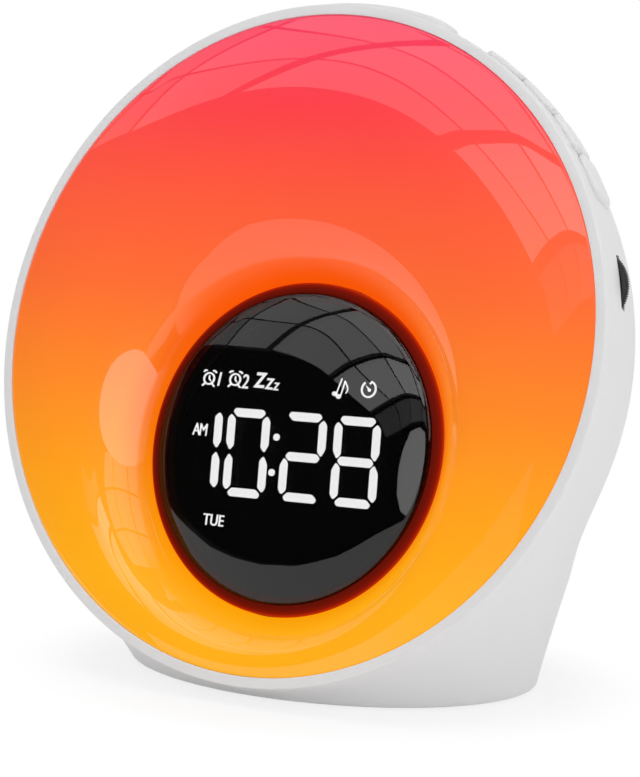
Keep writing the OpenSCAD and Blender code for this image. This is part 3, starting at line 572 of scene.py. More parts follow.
def foot_reach(rays, inset):
    """Distance from the face's middle to the foot's wall along each ray, found by halving."""
    low = np.full(len(rays), 55.0)
    high = np.full(len(rays), 330.0)
    for _ in range(26):
        middle = (low + high) / 2
        point = rays * middle[:, None] + np.array([0, FACE_Y, FACE_H])
        part = np.clip(point[:, 2] / BLEND_H, -1.5, 1.3)
        angle = np.arctan2(-(point[:, 1] - FOOT_Y), np.abs(point[:, 0]))
        power = FOOT_POWER + FRONT_POWER * np.clip(np.sin(angle), 0, 1)
        share = np.sign(part) * np.abs(part) ** power
        half_x = np.maximum(FOOT_A + (BLEND_R - FOOT_A) * share - inset, 2)
        half_y = np.maximum(FOOT_B + (BLEND_R - FOOT_B) * share - inset, 2)
        mid_y = FOOT_Y + (FACE_Y - FOOT_Y) * share
        inside = np.hypot(point[:, 0] / half_x, (point[:, 1] - mid_y) / half_y) < 1
        low = np.where(inside, middle, low)
        high = np.where(inside, high, middle)
    return (low + high) / 2


def body_skin(inset, round_steps, rings):
    """The domed body with its foot as one closed skin, drawn inwards by inset; in the row frame."""
    bm = bmesh.new()
    bmesh.ops.create_uvsphere(bm, u_segments=rings * 2, v_segments=rings, radius=1.0)
    local = np.array([v.co for v in bm.verts])
    polar = np.arcsin(np.clip(local[:, 2], -1, 1)) / (math.pi / 2)
    # the rings of faces crowd towards the rim
    polar = np.sign(polar) * (0.45 * np.abs(polar) + 0.55 * polar ** 2) * math.pi / 2
    flat = np.hypot(local[:, 0], local[:, 1])
    flat[flat < 1e-9] = 1
    local = np.stack([local[:, 0] / flat * np.cos(polar), local[:, 1] / flat * np.cos(polar), np.sin(polar)], 1)
    rays = local @ np.array(FACE.to_3x3()).T
    sphere = RIM_R - inset
    over = foot_reach(rays, inset) - sphere
    blend = np.maximum(over, 0) + np.maximum(FOOT_SOFT - np.abs(over), 0) ** 2 / (4 * FOOT_SOFT)
    behind = -local[:, 2] * sphere
    height = FACE_H + rays[:, 2] * (sphere + blend)
    blend = blend * smooth_step(*FOOT_BEHIND, behind) * (1 - smooth_step(*FOOT_FADE, height))
    for vert, ray, reach in zip(bm.verts, rays, sphere + blend):
        vert.co = Vector(ray * reach) + Vector((0, FACE_Y, FACE_H))
    rounded_cut(bm, FACE @ Vector((0, 0, INSIDE_Z if inset else 0)), FRONT_AXIS, RIM_ROUND, round_steps)
    back = Vector((0, BACK_Y - (BACK_WALL if inset else 0), 0))
    rounded_cut(bm, back, Vector((0, 1, 0)), BACK_ROUND, round_steps)
    rounded_cut(bm, Vector((0, 0, -1 if inset else TABLE_GAP)), Vector((0, 0, -1)), BASE_ROUND, round_steps)
    bmesh.ops.recalc_face_normals(bm, faces=bm.faces)
    return bm


def rounded_cut(bm, point, normal, radius, steps):
    """Cuts a skin off at a plane, rounds the edge that this leaves, and closes it with a flat face."""
    for k in range(steps + 1):
        depth = radius * (1 - math.sin(math.pi / 2 * k / steps)) if steps else 0
        bmesh.ops.bisect_plane(bm, geom=bm.verts[:] + bm.edges[:] + bm.faces[:], dist=1e-4,
                               plane_co=point - normal * depth, plane_no=normal, clear_outer=k == steps)
    bm.normal_update()
    moves = []
    for vert in bm.verts:
        over = radius - (point - vert.co).dot(normal)
        if steps and over > 1e-5:
            inset = radius - math.sqrt(max(0.0, radius ** 2 - min(over, radius) ** 2))
            side = vert.normal - normal * vert.normal.dot(normal)
            moves.append((vert, side.normalized() * inset))
    for vert, move in moves:
        vert.co -= move
    bmesh.ops.holes_fill(bm, edges=[e for e in bm.edges if e.is_boundary], sides=0)


def housing():
    outer = body_skin(0, 4, 150)
    inner = body_skin(WALL, 0, 60)
    lens_tool = turned(
        [(0, INSIDE_Z - 0.1), (LEDGE_R, INSIDE_Z - 0.1), (LEDGE_R, -LENS_SEAT), (BORE_R, -LENS_SEAT)]
        + arc(BORE_R + 0.2, -0.2, 0.2, 180, 90, 4) + [(BORE_R + 0.3, 4), (0, 4)], 256)
    cover_tool = turned([(0, -6), (COVER_SEAT_R, -6), (COVER_SEAT_R, -COVER_T), (COVER_R + 0.15, -COVER_T),
                         (COVER_R + 0.15, -0.25), (COVER_R + 0.4, 0), (COVER_R + 0.4, 2), (0, 2)], 192)
    windows = [(0, 0, BAR_LEN, CAP_W / 2)]
    windows += [(BANK_ANGLE, (i - 1.5) * CAP_PITCH, CAP_PITCH - CAP_GAP, CAP_CORNER + CAP_PLAY) for i in range(4)]
    tools = [inner, moved(lens_tool, FACE), moved(cover_tool, BACK)]
    for angle, x, length, corner in windows:
        outline = rounded_points(length + 2 * CAP_PLAY, CAP_W + 2 * CAP_PLAY, corner)
        tool = moved(slab(outline, -97, -77), turned_by(90, "X"))
        tools.append(moved(tool, clock(angle) @ at(x, 0, CAP_Z)))
    slot_r, slot_z = WHEEL_R + SLOT_PLAY, WHEEL_T / 2 + SLOT_PLAY
    slot = turned([(0, -slot_z), (slot_r, -slot_z), (slot_r, slot_z), (0, slot_z)], 96)
    tools.append(moved(slot, WHEEL))
    shell = carved("DIFFERENCE", outer, *tools)
    return piece("housing", shell, WORLD, "housing", ["housing_shell"], "housing_plastic", 28)


# ---- lens ----


def lens_height(x, y):
    """Height of the lens over the rim's face."""
    far = math.hypot(x, y)
    near = max(0.0, math.hypot(x, y + DISPLAY_DROP) - LIP_R)
    crown = LENS_CROWN * (1 - (min(far, LENS_R) / LENS_R) ** 3) - 0.3
    dish = -LIP_DEPTH + DISH_RISE * (1 - math.exp(-near / DISH_REACH)) + DISH_SLOPE * near
    low = min(crown, dish)
    return low - LENS_SOFT * math.log(math.exp((low - crown) / LENS_SOFT) + math.exp((low - dish) / LENS_SOFT))


def eased(steps):
    """Shares from 0 to 1 that crowd at both ends."""
    return [0.5 - 0.5 * math.cos(math.pi * k / steps) for k in range(steps + 1)]


def lens():
    """The rings run from the rim at share 0 to the lip at share 1, first on top and then back underneath."""
    # each outline point holds its share and its layer, which the loop below turns into its real place
    coded = [(200 - 100 * s, 1) for s in eased(90)] + [(200 - 100 * s, 0) for s in reversed(eased(40))]
    bm = turned(coded, 240)
    for vert in bm.verts:
        reach = math.hypot(vert.co.x, vert.co.y)
        share = (200 - reach) / 100
        radius = LENS_R + (LIP_R - LENS_R) * share
        x = radius * vert.co.x / reach
        y = -DISPLAY_DROP * share + radius * vert.co.y / reach
        far = math.hypot(x, y)
        if vert.co.z > 0.5:
            edge = max(0.0, 1 - (LENS_R - far) / LENS_EDGE)
            height = lens_height(x, y) - LENS_EDGE * (1 - math.sqrt(max(0.0, 1 - edge * edge)))
        elif far > LENS_R - 2:
            height = -LENS_SEAT
        else:
            height = lens_height(x, y) - LENS_T
        vert.co = (x, y, height)
    shell = piece("lens", bm, FACE, "housing", ["diffuser_lens"], "lens_plastic", 60)
    shell.visible_glossy = False    # keeps its glow out of the dark window beside it
    return shell


# ---- display ----


def ring():
    top = -LIP_DEPTH - 0.2
    outer, inner = LIP_R - RING_PLAY, WINDOW_R + RING_PLAY
    seat = WINDOW_Z - WINDOW_EDGE
    outline = ([(outer, seat - RING_FOOT)] + arc(outer - 0.5, top - 0.5, 0.5, 0, 65, 4)
               + arc(inner + 0.4, WINDOW_Z - 0.6, 0.4, 65, 180, 5)
               + [(inner, seat), (inner - RING_FOOT_W, seat), (inner - RING_FOOT_W, seat - RING_FOOT)])
    return piece("ring", turned(outline, 192), DISPLAY, "housing", ["display_ring"], "ring_plastic", 40)


def window():
    """A domed shell with a short straight edge and a rounded shoulder."""
    bulge = (WINDOW_R ** 2 + WINDOW_CREST ** 2) / (2 * WINDOW_CREST)
    middle = WINDOW_Z + WINDOW_CREST - bulge
    seat = WINDOW_Z - WINDOW_EDGE
    inside = bulge - WINDOW_T
    steps = 48

    def dome(ball, radius):
        return radius, middle + math.sqrt(ball ** 2 - radius ** 2)

    outline = [dome(bulge, (WINDOW_R - 0.5) * k / steps) for k in range(steps + 1)]
    outline += [(WINDOW_R - 0.15, WINDOW_Z - 0.05), (WINDOW_R, WINDOW_Z - 0.35), (WINDOW_R, seat),
                (WINDOW_R - WINDOW_T, seat)]
    outline += [dome(inside, (WINDOW_R - WINDOW_T) * k / steps) for k in range(steps, -1, -1)]
    piece("window", turned(outline, 160), DISPLAY, "housing", ["display_window"], "window_plastic", 40)
    # printed black border under the window's edge
    border = [dome(inside, PANEL_R + 0.2 + BORDER_W * k / 6) for k in range(7)]
    outer = border[-1][0]
    outline = [(r, z - 0.12) for r, z in border] + [(outer + 0.2, seat + 0.1), (outer, seat + 0.1)]
    outline += [(r, z - 0.3) for r, z in reversed(border)]
    piece("window_border", turned(outline, 128), DISPLAY, "housing", [], "black_plastic", 40)


def panel():
    outline = [(0, PANEL_Z - 7), (PANEL_R, PANEL_Z - 7), (PANEL_R, PANEL_Z - 0.4), (PANEL_R - 0.4, PANEL_Z),
               (0, PANEL_Z)]
    face = piece("display_face", turned(outline, 128), DISPLAY, "housing", ["display_panel"], "black_plastic", 40)
    face.data.materials[0] = panel_finish()
    return face


SEGMENT_T = 0.3
LEAN = Matrix(((1, -0.080, 0, 0), (0.0105, 1, 0, 0), (0, 0, 1, 0), (0, 0, 0, 1)))


def flat_shape(points, corner=0.0):
    """A thin lit shape with softened corners."""
    bm = bmesh.new()
    face = bm.faces.new([bm.verts.new((x, y, 0)) for x, y in points])
    if corner:
        bmesh.ops.bevel(bm, geom=bm.verts[:], offset=corner, offset_type="OFFSET", segments=4, profile=0.5,
                        affect="VERTICES", material=-1, clamp_overlap=True)
    return thick(bm)


def thick(bm):
    """Gives a flat mesh the thickness of a lit shape."""
    bmesh.ops.recalc_face_normals(bm, faces=bm.faces)
    top = bmesh.ops.extrude_face_region(bm, geom=bm.faces[:])["geom"]
    bmesh.ops.translate(bm, verts=verts_in(top), vec=(0, 0, SEGMENT_T))
    bmesh.ops.recalc_face_normals(bm, faces=bm.faces)
    return bm


def arc_shape(x, y, radius, width, start, end):
    """A band along an arc."""
    bm = bmesh.new()
    a = math.radians(start)
    ends = [bm.verts.new((x + r * math.cos(a), y + r * math.sin(a), 0))
            for r in (radius - width / 2, radius + width / 2)]
    edge = bm.edges.new(ends)
    steps = max(4, int(abs(end - start) / 9))
    full = abs(end - start) >= 360
    bmesh.ops.spin(bm, geom=[*ends, edge], cent=(x, y, 0), axis=(0, 0, 1), angle=math.radians(end - start),
                   steps=steps, use_merge=full)
    return thick(bm)


def disc_shape(x, y, radius, wide=1.0):
    bm = bmesh.new()
    bmesh.ops.create_circle(bm, cap_ends=True, radius=radius, segments=24)
    bmesh.ops.scale(bm, vec=(wide, 1, 1), verts=bm.verts)
    bmesh.ops.translate(bm, vec=(x, y, 0), verts=bm.verts)
    return thick(bm)


def stroke_shape(x0, y0, x1, y1, width):
    """A straight stroke."""
    along = Vector((x1 - x0, y1 - y0)).normalized() * width / 2
    side = Vector((-along.y, along.x))
    a, b = Vector((x0, y0)), Vector((x1, y1))
    return flat_shape([a + side, a - side, b - side, b + side], width * 0.25)


def letters(text, x, y, height, shear, bold, narrow):
    """Plain lettering whose lower left corner is at a place."""
    curve = bpy.data.curves.new("letters", "FONT")
    curve.body = text
    curve.size = height / 0.70
    curve.offset = bold
    curve.resolution_u = 4
    thing = put("letters", curve)
    bm = bmesh.new()
    bm.from_mesh(bpy.data.meshes.new_from_object(thing.evaluated_get(bpy.context.evaluated_depsgraph_get())))
    bpy.data.objects.remove(thing)
    bmesh.ops.remove_doubles(bm, verts=bm.verts, dist=1e-4)
    left = min(v.co.x for v in bm.verts)
    low = min(v.co.y for v in bm.verts)
    for vert in bm.verts:
        vert.co = (x + (vert.co.x - left) * narrow + (vert.co.y - low) * shear, y + vert.co.y - low, 0)
    return thick(bm)


def digit(parts, width, tall):
    """A digit of seven segments about its middle: a top, b and c right, d bottom, e and f left, g middle."""
    stroke, gap = 2.35, 0.60
    w, h = width / 2, tall / 2
    top = [(-w + stroke + gap, h - stroke), (-w + 1.0 + gap, h - 1.05), (-w + 2.3, h),
           (w - 2.3, h), (w - 1.0 - gap, h - 1.05), (w - stroke - gap, h - stroke)]
    left = [(-w + stroke, h - stroke - gap), (-w + 1.0, h - 1.05 - gap), (-w, h - 3.0), (-w, 2.6),
            (-w + 1.2, gap * 0.8), (-w + stroke, stroke * 0.5 + gap)]
    middle = [(-w + stroke + 0.1, stroke / 2), (-w + 1.5, 0), (-w + stroke + 0.1, -stroke / 2),
              (w - stroke - 0.1, -stroke / 2), (w - 1.5, 0), (w - stroke - 0.1, stroke / 2)]
    outlines = {
        "a": top, "d": [(x, -y) for x, y in top], "g": middle,
        "f": left, "e": [(x, -y) for x, y in left],
        "b": [(-x, y) for x, y in left], "c": [(-x, -y) for x, y in left],
    }
    return joined(*[flat_shape(outlines[part], 0.45) for part in parts])


def alarm_icon(x, y):
    """A small alarm clock: face, two bells, two feet and the hands."""
    shapes = [arc_shape(0, -0.1, 1.45, 0.42, 0, 360), stroke_shape(0.05, 0.75, 0.0, -0.15, 0.32),
              stroke_shape(0.0, -0.1, 0.6, -0.75, 0.32)]
    for side in (-1, 1):
        bell = arc_shape(side * 1.15, 1.3, 0.7, 0.42, 90 - side * 75, 90 + side * 25)
        shapes += [bell, stroke_shape(side * 0.95, -1.3, side * 1.75, -2.1, 0.42)]
    return moved(joined(*shapes), at(x, y) @ Matrix.Diagonal((1.12, 1.06, 1, 1)))


def note_icon(x, y):
    """Two quavers that stand side by side."""
    shapes = [disc_shape(-1.5, -1.75, 0.62, 1.2), disc_shape(-0.2, -2.4, 0.62, 1.2),
              stroke_shape(-0.95, -1.6, 0.15, 2.5, 0.27), stroke_shape(0.4, -2.2, 1.2, 1.85, 0.27),
              stroke_shape(1.2, 1.85, 2.2, 0.2, 0.32), stroke_shape(2.2, 0.25, 2.3, -0.7, 0.28),
              stroke_shape(2.3, -0.65, 1.85, -1.5, 0.22)]
    return moved(joined(*shapes), at(x, y))


def timer_icon(x, y):
    """An open circle with a hook, round a pointer."""
    shapes = [arc_shape(0, 0, 2.1, 0.48, 128, 432), stroke_shape(0.75, 2.1, 0.15, 1.35, 0.42),
              flat_shape([(-1.0, 1.0), (0.5, -0.05), (0.1, -0.5)], 0.1), disc_shape(0.2, -0.25, 0.42)]
    return moved(joined(*shapes), at(x, y))


def lit_display():
    shapes = []
    for parts, x, y, width, tall in (("bc", -29.0, -2.65, 13.6, 24.0), ("abcdef", -13.68, -2.65, 13.4, 24.0),
                                     ("abdeg", 3.95, -2.35, 13.6, 24.0), ("abcdefg", 20.2, -2.2, 14.0, 24.0)):
        shapes.append(moved(digit(parts, width, tall), at(x, y) @ LEAN))
    shapes += [disc_shape(-5.0, 2.4, 0.95), disc_shape(-4.9, -7.2, 0.95)]
    shapes += [alarm_icon(-29.2, 16.8), alarm_icon(-20.8, 17.1), note_icon(12.4, 17.2), timer_icon(21.05, 17.4)]
    shapes += [letters(*row) for row in (
        ("1", -26.2, 14.9, 3.8, 0.10, 0.02, 0.8), ("2", -18.4, 14.8, 3.9, 0.06, 0.02, 0.8),
        ("Z", -14.6, 15.3, 4.0, 0.10, 0.14, 0.82), ("Z", -11.0, 15.1, 2.9, 0.10, 0.1, 0.82),
        ("Z", -8.4, 15.0, 2.0, 0.10, 0.07, 0.82), ("A", -31.9, 0.9, 3.4, -0.02, 0.0, 0.74),
        ("M", -29.6, 0.9, 3.4, -0.02, -0.01, 0.74), ("TUE", -24.2, -23.2, 3.1, -0.02, 0.02, 0.84))]
    graphics = joined(*shapes)
    bmesh.ops.translate(graphics, verts=graphics.verts, vec=(0, 0, PANEL_Z))
    return piece("lit_digits", graphics, DISPLAY, "housing", ["display_segments"], "digit_plastic", 40)


# ---- buttons ----


def cap_shape(length, width, corner, outer_r, cells, start=0.0, edge=0.9, low=0.0):
    """A pad between the dome of outer_r and the caps' underside; x along the wall, y out of it, z across.
    Its top is rounded off over edge, and none of it lies below low."""
    bm = bmesh.new()
    bmesh.ops.create_grid(bm, x_segments=cells, y_segments=20, size=1.0)
    half_l, half_w = length / 2, width / 2
    for vert in bm.verts:
        u, v = [math.copysign(1 - (1 - abs(c)) ** 1.4, c) for c in vert.co.xy]
        z = v * half_w
        past = max(0.0, abs(z) - (half_w - corner))
        x = u * (half_l - corner + math.sqrt(max(0.0, corner ** 2 - past ** 2)))
        gap_x, gap_z = abs(x) - (half_l - corner), abs(z) - (half_w - corner)
        to_edge = corner - math.hypot(max(gap_x, 0), max(gap_z, 0)) - min(max(gap_x, gap_z), 0)
        drop = edge - math.sqrt(max(0.0, edge ** 2 - max(0.0, edge - to_edge) ** 2))
        x, z = x + start, z + CAP_Z
        vert.co = (x, max(low + 0.1, math.sqrt(outer_r ** 2 - x * x - z * z) - drop), z)
    underside = bmesh.ops.extrude_face_region(bm, geom=bm.faces[:])["geom"]
    for vert in verts_in(underside):
        vert.co.y = max(low, math.sqrt(CAP_UNDER_R ** 2 - vert.co.x ** 2 - vert.co.z ** 2))
    bmesh.ops.recalc_face_normals(bm, faces=bm.faces)
    return bm


def stem(x, low):
    """The round stem from a cap down to its plunger."""
    tall = CAP_UNDER_R - 0.4 - low
    bm = bmesh.new()
    bmesh.ops.create_cone(bm, cap_ends=True, radius1=STEM_R, radius2=STEM_R, depth=tall, segments=32,
                          matrix=at(x, low + tall / 2, CAP_Z) @ turned_by(90, "X"))
    return bm


def buttons():
    flange_r = RIM_R - WALL - FLANGE_PLAY
    bar = joined(cap_shape(BAR_LEN, CAP_W, CAP_W / 2 - 0.05, RIM_R + BAR_PROUD, 60, low=BAR_LOW),
                 cap_shape(BAR_LEN + FLANGE_W, CAP_W + FLANGE_W, CAP_W / 2 - 0.25, flange_r, 30, edge=0.2,
                           low=BAR_LOW),
                 stem(-BAR_STEM_X, BAR_PLUNGER_Y), stem(BAR_STEM_X, BAR_PLUNGER_Y))
    piece("snooze_cap", bar, clock(0), "snooze", ["snooze_bar"], "housing_plastic", 50)
    for i in range(4):
        x = (i - 1.5) * CAP_PITCH
        cap = joined(cap_shape(CAP_PITCH - CAP_GAP, CAP_W, CAP_CORNER, RIM_R + CAP_PROUD, 26, x),
                     cap_shape(CAP_PITCH - CAP_GAP / 3, CAP_W + FLANGE_W, CAP_CORNER, flange_r, 14, x, 0.2),
                     stem(x, KEY_PLUNGER_Y))
        piece(f"key_cap_{i + 1}", cap, clock(BANK_ANGLE), f"key_{i + 1}", [f"side_button_{i + 1}"],
              "housing_plastic", 50)


# ---- volume wheel ----


def wheel():
    """A thin wheel with a recessed face; its rim and edges carry fine ridges."""
    half = WHEEL_T / 2
    outline = ([(1.53, -half), (WHEEL_R - 0.35, -half), (WHEEL_R - 0.1, -half + 0.1), (WHEEL_R, -half + 0.3),
                (WHEEL_R, half - 0.3), (WHEEL_R - 0.1, half - 0.1), (WHEEL_R - 0.35, half), (WHEEL_R - 1.5, half)]
               + [(WHEEL_R - 1.7, half - 0.6), (3.6, half - 0.6), (3.4, half), (1.53, half)])
    bm = turned(outline, KNURLS * 4)
    for vert in bm.verts:
        reach = math.hypot(vert.co.x, vert.co.y)
        if reach > WHEEL_R - 0.5:
            ridge = 0.5 - 0.5 * math.cos(KNURLS * math.atan2(vert.co.y, vert.co.x))
            vert.co.xy *= 1 - KNURL_DEPTH * ridge / reach
    return piece("knurled_wheel", bm, WHEEL, "wheel", ["volume_wheel"], "wheel_plastic", 30)


# ---- back and base ----


def copies(bm, places):
    """One mesh at each of many places."""
    parts = [moved(bm.copy(), place) for place in places]
    bm.free()
    return joined(*parts)


def hole_tool(radius, deep, soft, steps):
    """Cuts a hole down from z 0, and rounds its mouth."""
    return turned([(0, -deep), (radius, -deep), (radius, -soft)] + arc(radius + soft, -soft, soft, 180, 90, 3)
                  + [(radius + soft, 1), (0, 1)], steps)


def cross_screw(radius, height, shank, length):
    """A round screw head with a cross, on a plain shank."""
    head = turned([(0, 0), (radius, 0), (radius, height * 0.35)]
                  + [(radius * math.cos(a), height * (0.35 + 0.65 * math.sin(a))) for a in (0.4, 0.8, 1.2)]
                  + [(0, height)], 40)
    blades = []
    for turn in (0, 90):
        bm = bmesh.new()
        bmesh.ops.create_cube(bm, size=1.0)
        bmesh.ops.scale(bm, vec=(radius * 1.15, 0.5, height * 1.4), verts=bm.verts)
        for vert in bm.verts:
            if vert.co.z < 0:
                vert.co.x *= 0.55
        blades.append(moved(bm, turned_by(turn, "Z") @ at(0, 0, height * 1.05)))
    head = softened(carved("DIFFERENCE", head, *blades), 0.06, 1, 50)
    rod = bmesh.new()
    bmesh.ops.create_cone(rod, cap_ends=True, radius1=shank * 0.8, radius2=shank, depth=length, segments=24,
                          matrix=at(0, 0, -length / 2))
    return joined(head, rod)


def sound_places():
    yield 0.0, 0.0
    for ring in range(1, SOUND_RINGS + 1):
        for k in range(6 * ring):
            yield ring * SOUND_PITCH, 2 * math.pi * k / (6 * ring)


def cover_screw_places():
    angles = [math.radians(45 + 90 * k) for k in range(4)]
    return [at(COVER_SCREW_R * math.cos(a), COVER_SCREW_R * math.sin(a)) for a in angles]


def rear():
    through = COVER_T + 1
    socket = at(SOCKET_X, SOCKET_Y)
    screw_places = cover_screw_places()
    disc = turned([(0, -COVER_T), (COVER_R, -COVER_T)] + arc(COVER_R - 0.5, -0.5, 0.5, 0, 90, 5) + [(0, 0)], 192)
    sound = copies(hole_tool(SOUND_R, through, 0.3, 24),
                   [at(r * math.cos(a), SPEAKER_UP + r * math.sin(a)) for r, a in sound_places()])
    seats = copies(hole_tool(SCREW_HEAD_R + 0.15, 1.4, 0.25, 32), screw_places)
    bores = copies(hole_tool(SCREW_BORE, through, 0.0, 20), screw_places)
    mouth = moved(hole_tool(SOCKET_NOSE_R + 0.15, through, 0.3, 48), socket)
    groove = turned([(GROOVE_R, -0.35), (GROOVE_R + 0.25, -0.35), (GROOVE_R + 0.55, 0.2),
                     (GROOVE_R - 0.3, 0.2)], 192)
    cover = carved("DIFFERENCE", disc, sound, seats, bores, mouth, groove)
    piece("speaker_grille", cover, BACK, "housing", ["rear_cover"], "housing_plastic", 14)
    screws = copies(cross_screw(SCREW_HEAD_R, 1.25, SCREW_R, 8), [m @ at(0, 0, -1.4) for m in screw_places])
    piece("cover_screws", screws, BACK, "housing", ["rear_screws"], "screw_steel", 35)
    nose = turned([(0, -12), (4.6, -12), (4.6, -COVER_T), (SOCKET_NOSE_R, -COVER_T)]
                  + arc(SOCKET_NOSE_R - 0.3, -0.3, 0.3, 0, 90, 3) + arc(3.05, -0.3, 0.3, 90, 180, 3)
                  + [(2.75, -9), (0, -9)], 64)
    pin = turned([(0, -9.6), (1.0, -9.6), (1.0, -1.1), (0.75, -0.65), (0.35, -0.5), (0, -0.5)], 32)
    block = slab(rounded_points(10, 11, 0.6, 3), -14, -COVER_T - 0.05)
    block = carved("DIFFERENCE", block, hole_tool(4.0, 12.5, 0.0, 32))
    piece("power_inlet", joined(nose, block), BACK @ socket, "housing", ["power_socket"], "black_plastic", 35)
    piece("power_pin", pin, BACK @ socket, "housing", [], "screw_steel", 35)


def ellipse_points(half_x, half_y, steps=120):
    angles = [2 * math.pi * k / steps for k in range(steps)]
    return [(half_x * math.cos(a), half_y * math.sin(a)) for a in angles]


def base():
    """Seen from below: the frame's z points down from the plate's underside."""
    under = at(0, FOOT_Y, PLATE_Z) @ turned_by(180, "X")
    inset = WALL + 0.4
    plate = softened(slab(ellipse_points(FOOT_A - inset, FOOT_B - inset), -PLATE_T, 0), 0.4, 3, 60)
    cup = turned([(0, -CUP_DEEP), (DOOR_R + 1, -CUP_DEEP), (DOOR_R + 1, -0.7), (0, -0.7)], 96)
    plate = carved("UNION", plate, cup)
    pad_places = [at(sx * PAD_X, sy * PAD_Y) for sx in (-1, 1) for sy in (-1, 1)]
    screw_places = [at(x, -y) for x, y in BASE_SCREWS]
    door_place = at(0, -DOOR_Y)
    tools = [copies(hole_tool(PAD_R + 0.15, 0.8, 0.25, 64), pad_places),
             copies(hole_tool(2.8, 1.0, 0.25, 32), screw_places),
             copies(hole_tool(SCREW_BORE, 3.0, 0.0, 20), screw_places),
             moved(hole_tool(DOOR_R + 0.15, 1.55, 0.25, 96), door_place),
             moved(hole_tool(WELL_R, WELL_DEEP, 0.0, 96), door_place)]
    piece("base", carved("DIFFERENCE", plate, *tools), under, "housing", ["base_plate"], "housing_plastic", 35)
    screws = copies(cross_screw(SCREW_HEAD_R, 0.9, SCREW_R, 6), [m @ at(0, 0, -1.0) for m in screw_places])
    piece("base_plate_screws", screws, under, "housing", ["base_screws"], "screw_steel", 35)
    pad = turned([(0, -0.8), (PAD_R, -0.8), (PAD_R, PLATE_Z - 0.5)]
                 + arc(PAD_R - 0.5, PLATE_Z - 0.5, 0.5, 0, 90, 5)
                 + [(4.4, PLATE_Z), (4.25, PLATE_Z - 0.25), (3.9, PLATE_Z - 0.25), (3.75, PLATE_Z), (0, PLATE_Z)], 64)
    piece("rubber_pads", copies(pad, pad_places), under, "housing", ["rubber_feet"], "foot_rubber", 35)
    door = turned([(0, -PLATE_T), (8, -PLATE_T), (8, -1.4), (DOOR_R, -1.4)]
                  + arc(DOOR_R - 0.3, -0.3, 0.3, 0, 90, 4)
                  + [(DOOR_R - 1.5, 0), (DOOR_R - 1.65, -0.2), (DOOR_R - 1.95, -0.2), (DOOR_R - 2.1, 0), (0, 0)], 96)
    slot = slab(rounded_points(14.4, 1.8, 0.85, 6), -0.9, 1)
    mark = moved(hole_tool(0.7, 0.3, 0.1, 24), at(0, 6.4))
    door = softened(carved("DIFFERENCE", door, slot, mark), 0.12, 2, 60)
    piece("coin_door", door, under @ door_place, "door", ["battery_door"], "housing_plastic", 35)


# ---- camera and light: metres from here on ----

CAMERA_PLACE = (0.3597, -0.5992, 0.1778)
CAMERA_DOWN, CAMERA_ASIDE = 8.1, 31
SENSOR = 36
FOCAL, FRAME_H = 2600, 777   # focal length and height of the frame, in points
ROOM_MIDDLE = Vector((0, -0.02, 0.10))
PANEL_FAR, FLOOR_FAR, CURTAIN_FAR = 2.9, 3.0, 3.3      # from the room's middle
SHADOW_A, SHADOW_B = 0.0605, 0.0445      # half axes of the patch of floor that the foot's shadow darkens
SHADOW_SHARE = 0.77          # how much of plain white that patch keeps


def camera():
    data = bpy.data.cameras.new("camera")
    data.sensor_width = SENSOR
    data.lens = FOCAL * SENSOR / FRAME_H
    data.clip_start = 0.01
    data.clip_end = 50
    thing = put("camera", data)
    thing.location = CAMERA_PLACE
    thing.rotation_euler = (math.radians(90 - CAMERA_DOWN), 0, math.radians(CAMERA_ASIDE))
    bpy.context.scene.camera = thing


def stage_piece(name, bm, material, **seen):
    """Something of the studio; seen says which rays meet it."""
    for face in bm.faces:
        face.smooth = True
    thing = put(name, mesh_of(name, bm))
    thing.data.materials.append(material)
    for ray in ("camera", "diffuse", "glossy", "transmission", "shadow"):
        setattr(thing, "visible_" + ray, seen.get(ray, False))
    return thing


def glowing(name, colour, strength):
    finish = Finish(name)
    return finish.ends_in(finish.node("Emission", values={"Color": colour, "Strength": strength}))


def direction(azimuth, height):
    """A unit vector: azimuth 0 looks out of the clock's front and grows to its right, seen from the front."""
    a, h = math.radians(azimuth), math.radians(height)
    return Vector((math.sin(a) * math.cos(h), -math.cos(a) * math.cos(h), math.sin(h)))


# Lit ceiling panels: azimuth and height of the corners of each panel, by rows from the lower edge up
PANEL_CORNERS = [
    [(-150, -4), (-118, 6), (-98, 17), (-84, 26), (-75, 31), (-56, 39), (-38, 42.3), (-22, 41), (0, 33), (7, 26)],
    [(-150, 10), (-118, 20), (-97, 28), (-82, 34), (-76, 39), (-53, 49), (-35, 51.3), (-16, 47), (6.5, 37.5), (12, 29)],
    [(-150, 26), (-120, 36), (-99, 41), (-83, 45), (-72, 50), (-45, 57), (-25, 57.5), (-4, 52), (12, 40), (15, 31)],
    [(-150, 42), (-122, 51), (-103, 55), (-85, 58), (-68, 61), (-34, 63), (-10, 61), (9, 51), (17.5, 39.5), (19, 32)],
    [(-150, 58), (-125, 65), (-108, 68), (-88, 70), (-60, 71), (-18, 69), (6, 62), (22, 50), (24, 38), (24, 31)],
    [(-150, 74), (-130, 78), (-115, 80), (-90, 82), (-50, 81), (0, 73), (22, 62), (34, 50), (31, 38), (29, 30)],
]
LEFT_PANEL_CORNERS = [
    [(44, 25), (56, 23), (76, 21), (98, 18)],
    [(42, 38), (58, 38), (80, 38), (104, 38)],
    [(40, 53), (60, 55), (86, 57), (112, 57)],
    [(38, 68), (62, 73), (94, 75), (125, 73)],
]
ROW_GLOW = (1.25, 1.5, 1.9, 2.4, 2.5)      # a panel's strength is its row's times its column's
COLUMN_GLOW = (0.2, 0.3, 0.4, 0.55, 0.8, 1.0, 1.0, 1.3, 0.3)
LEFT_GLOW = 1.5
SEAM, THICK_SEAM, LEFT_SEAM = 0.028, 0.08, 0.03      # half a seam, as a share of a panel
THICK_SEAMS = (5, 7, 8)      # columns that start at a broad dark seam
OPEN_SEAMS = (6,)            # columns that start at no seam


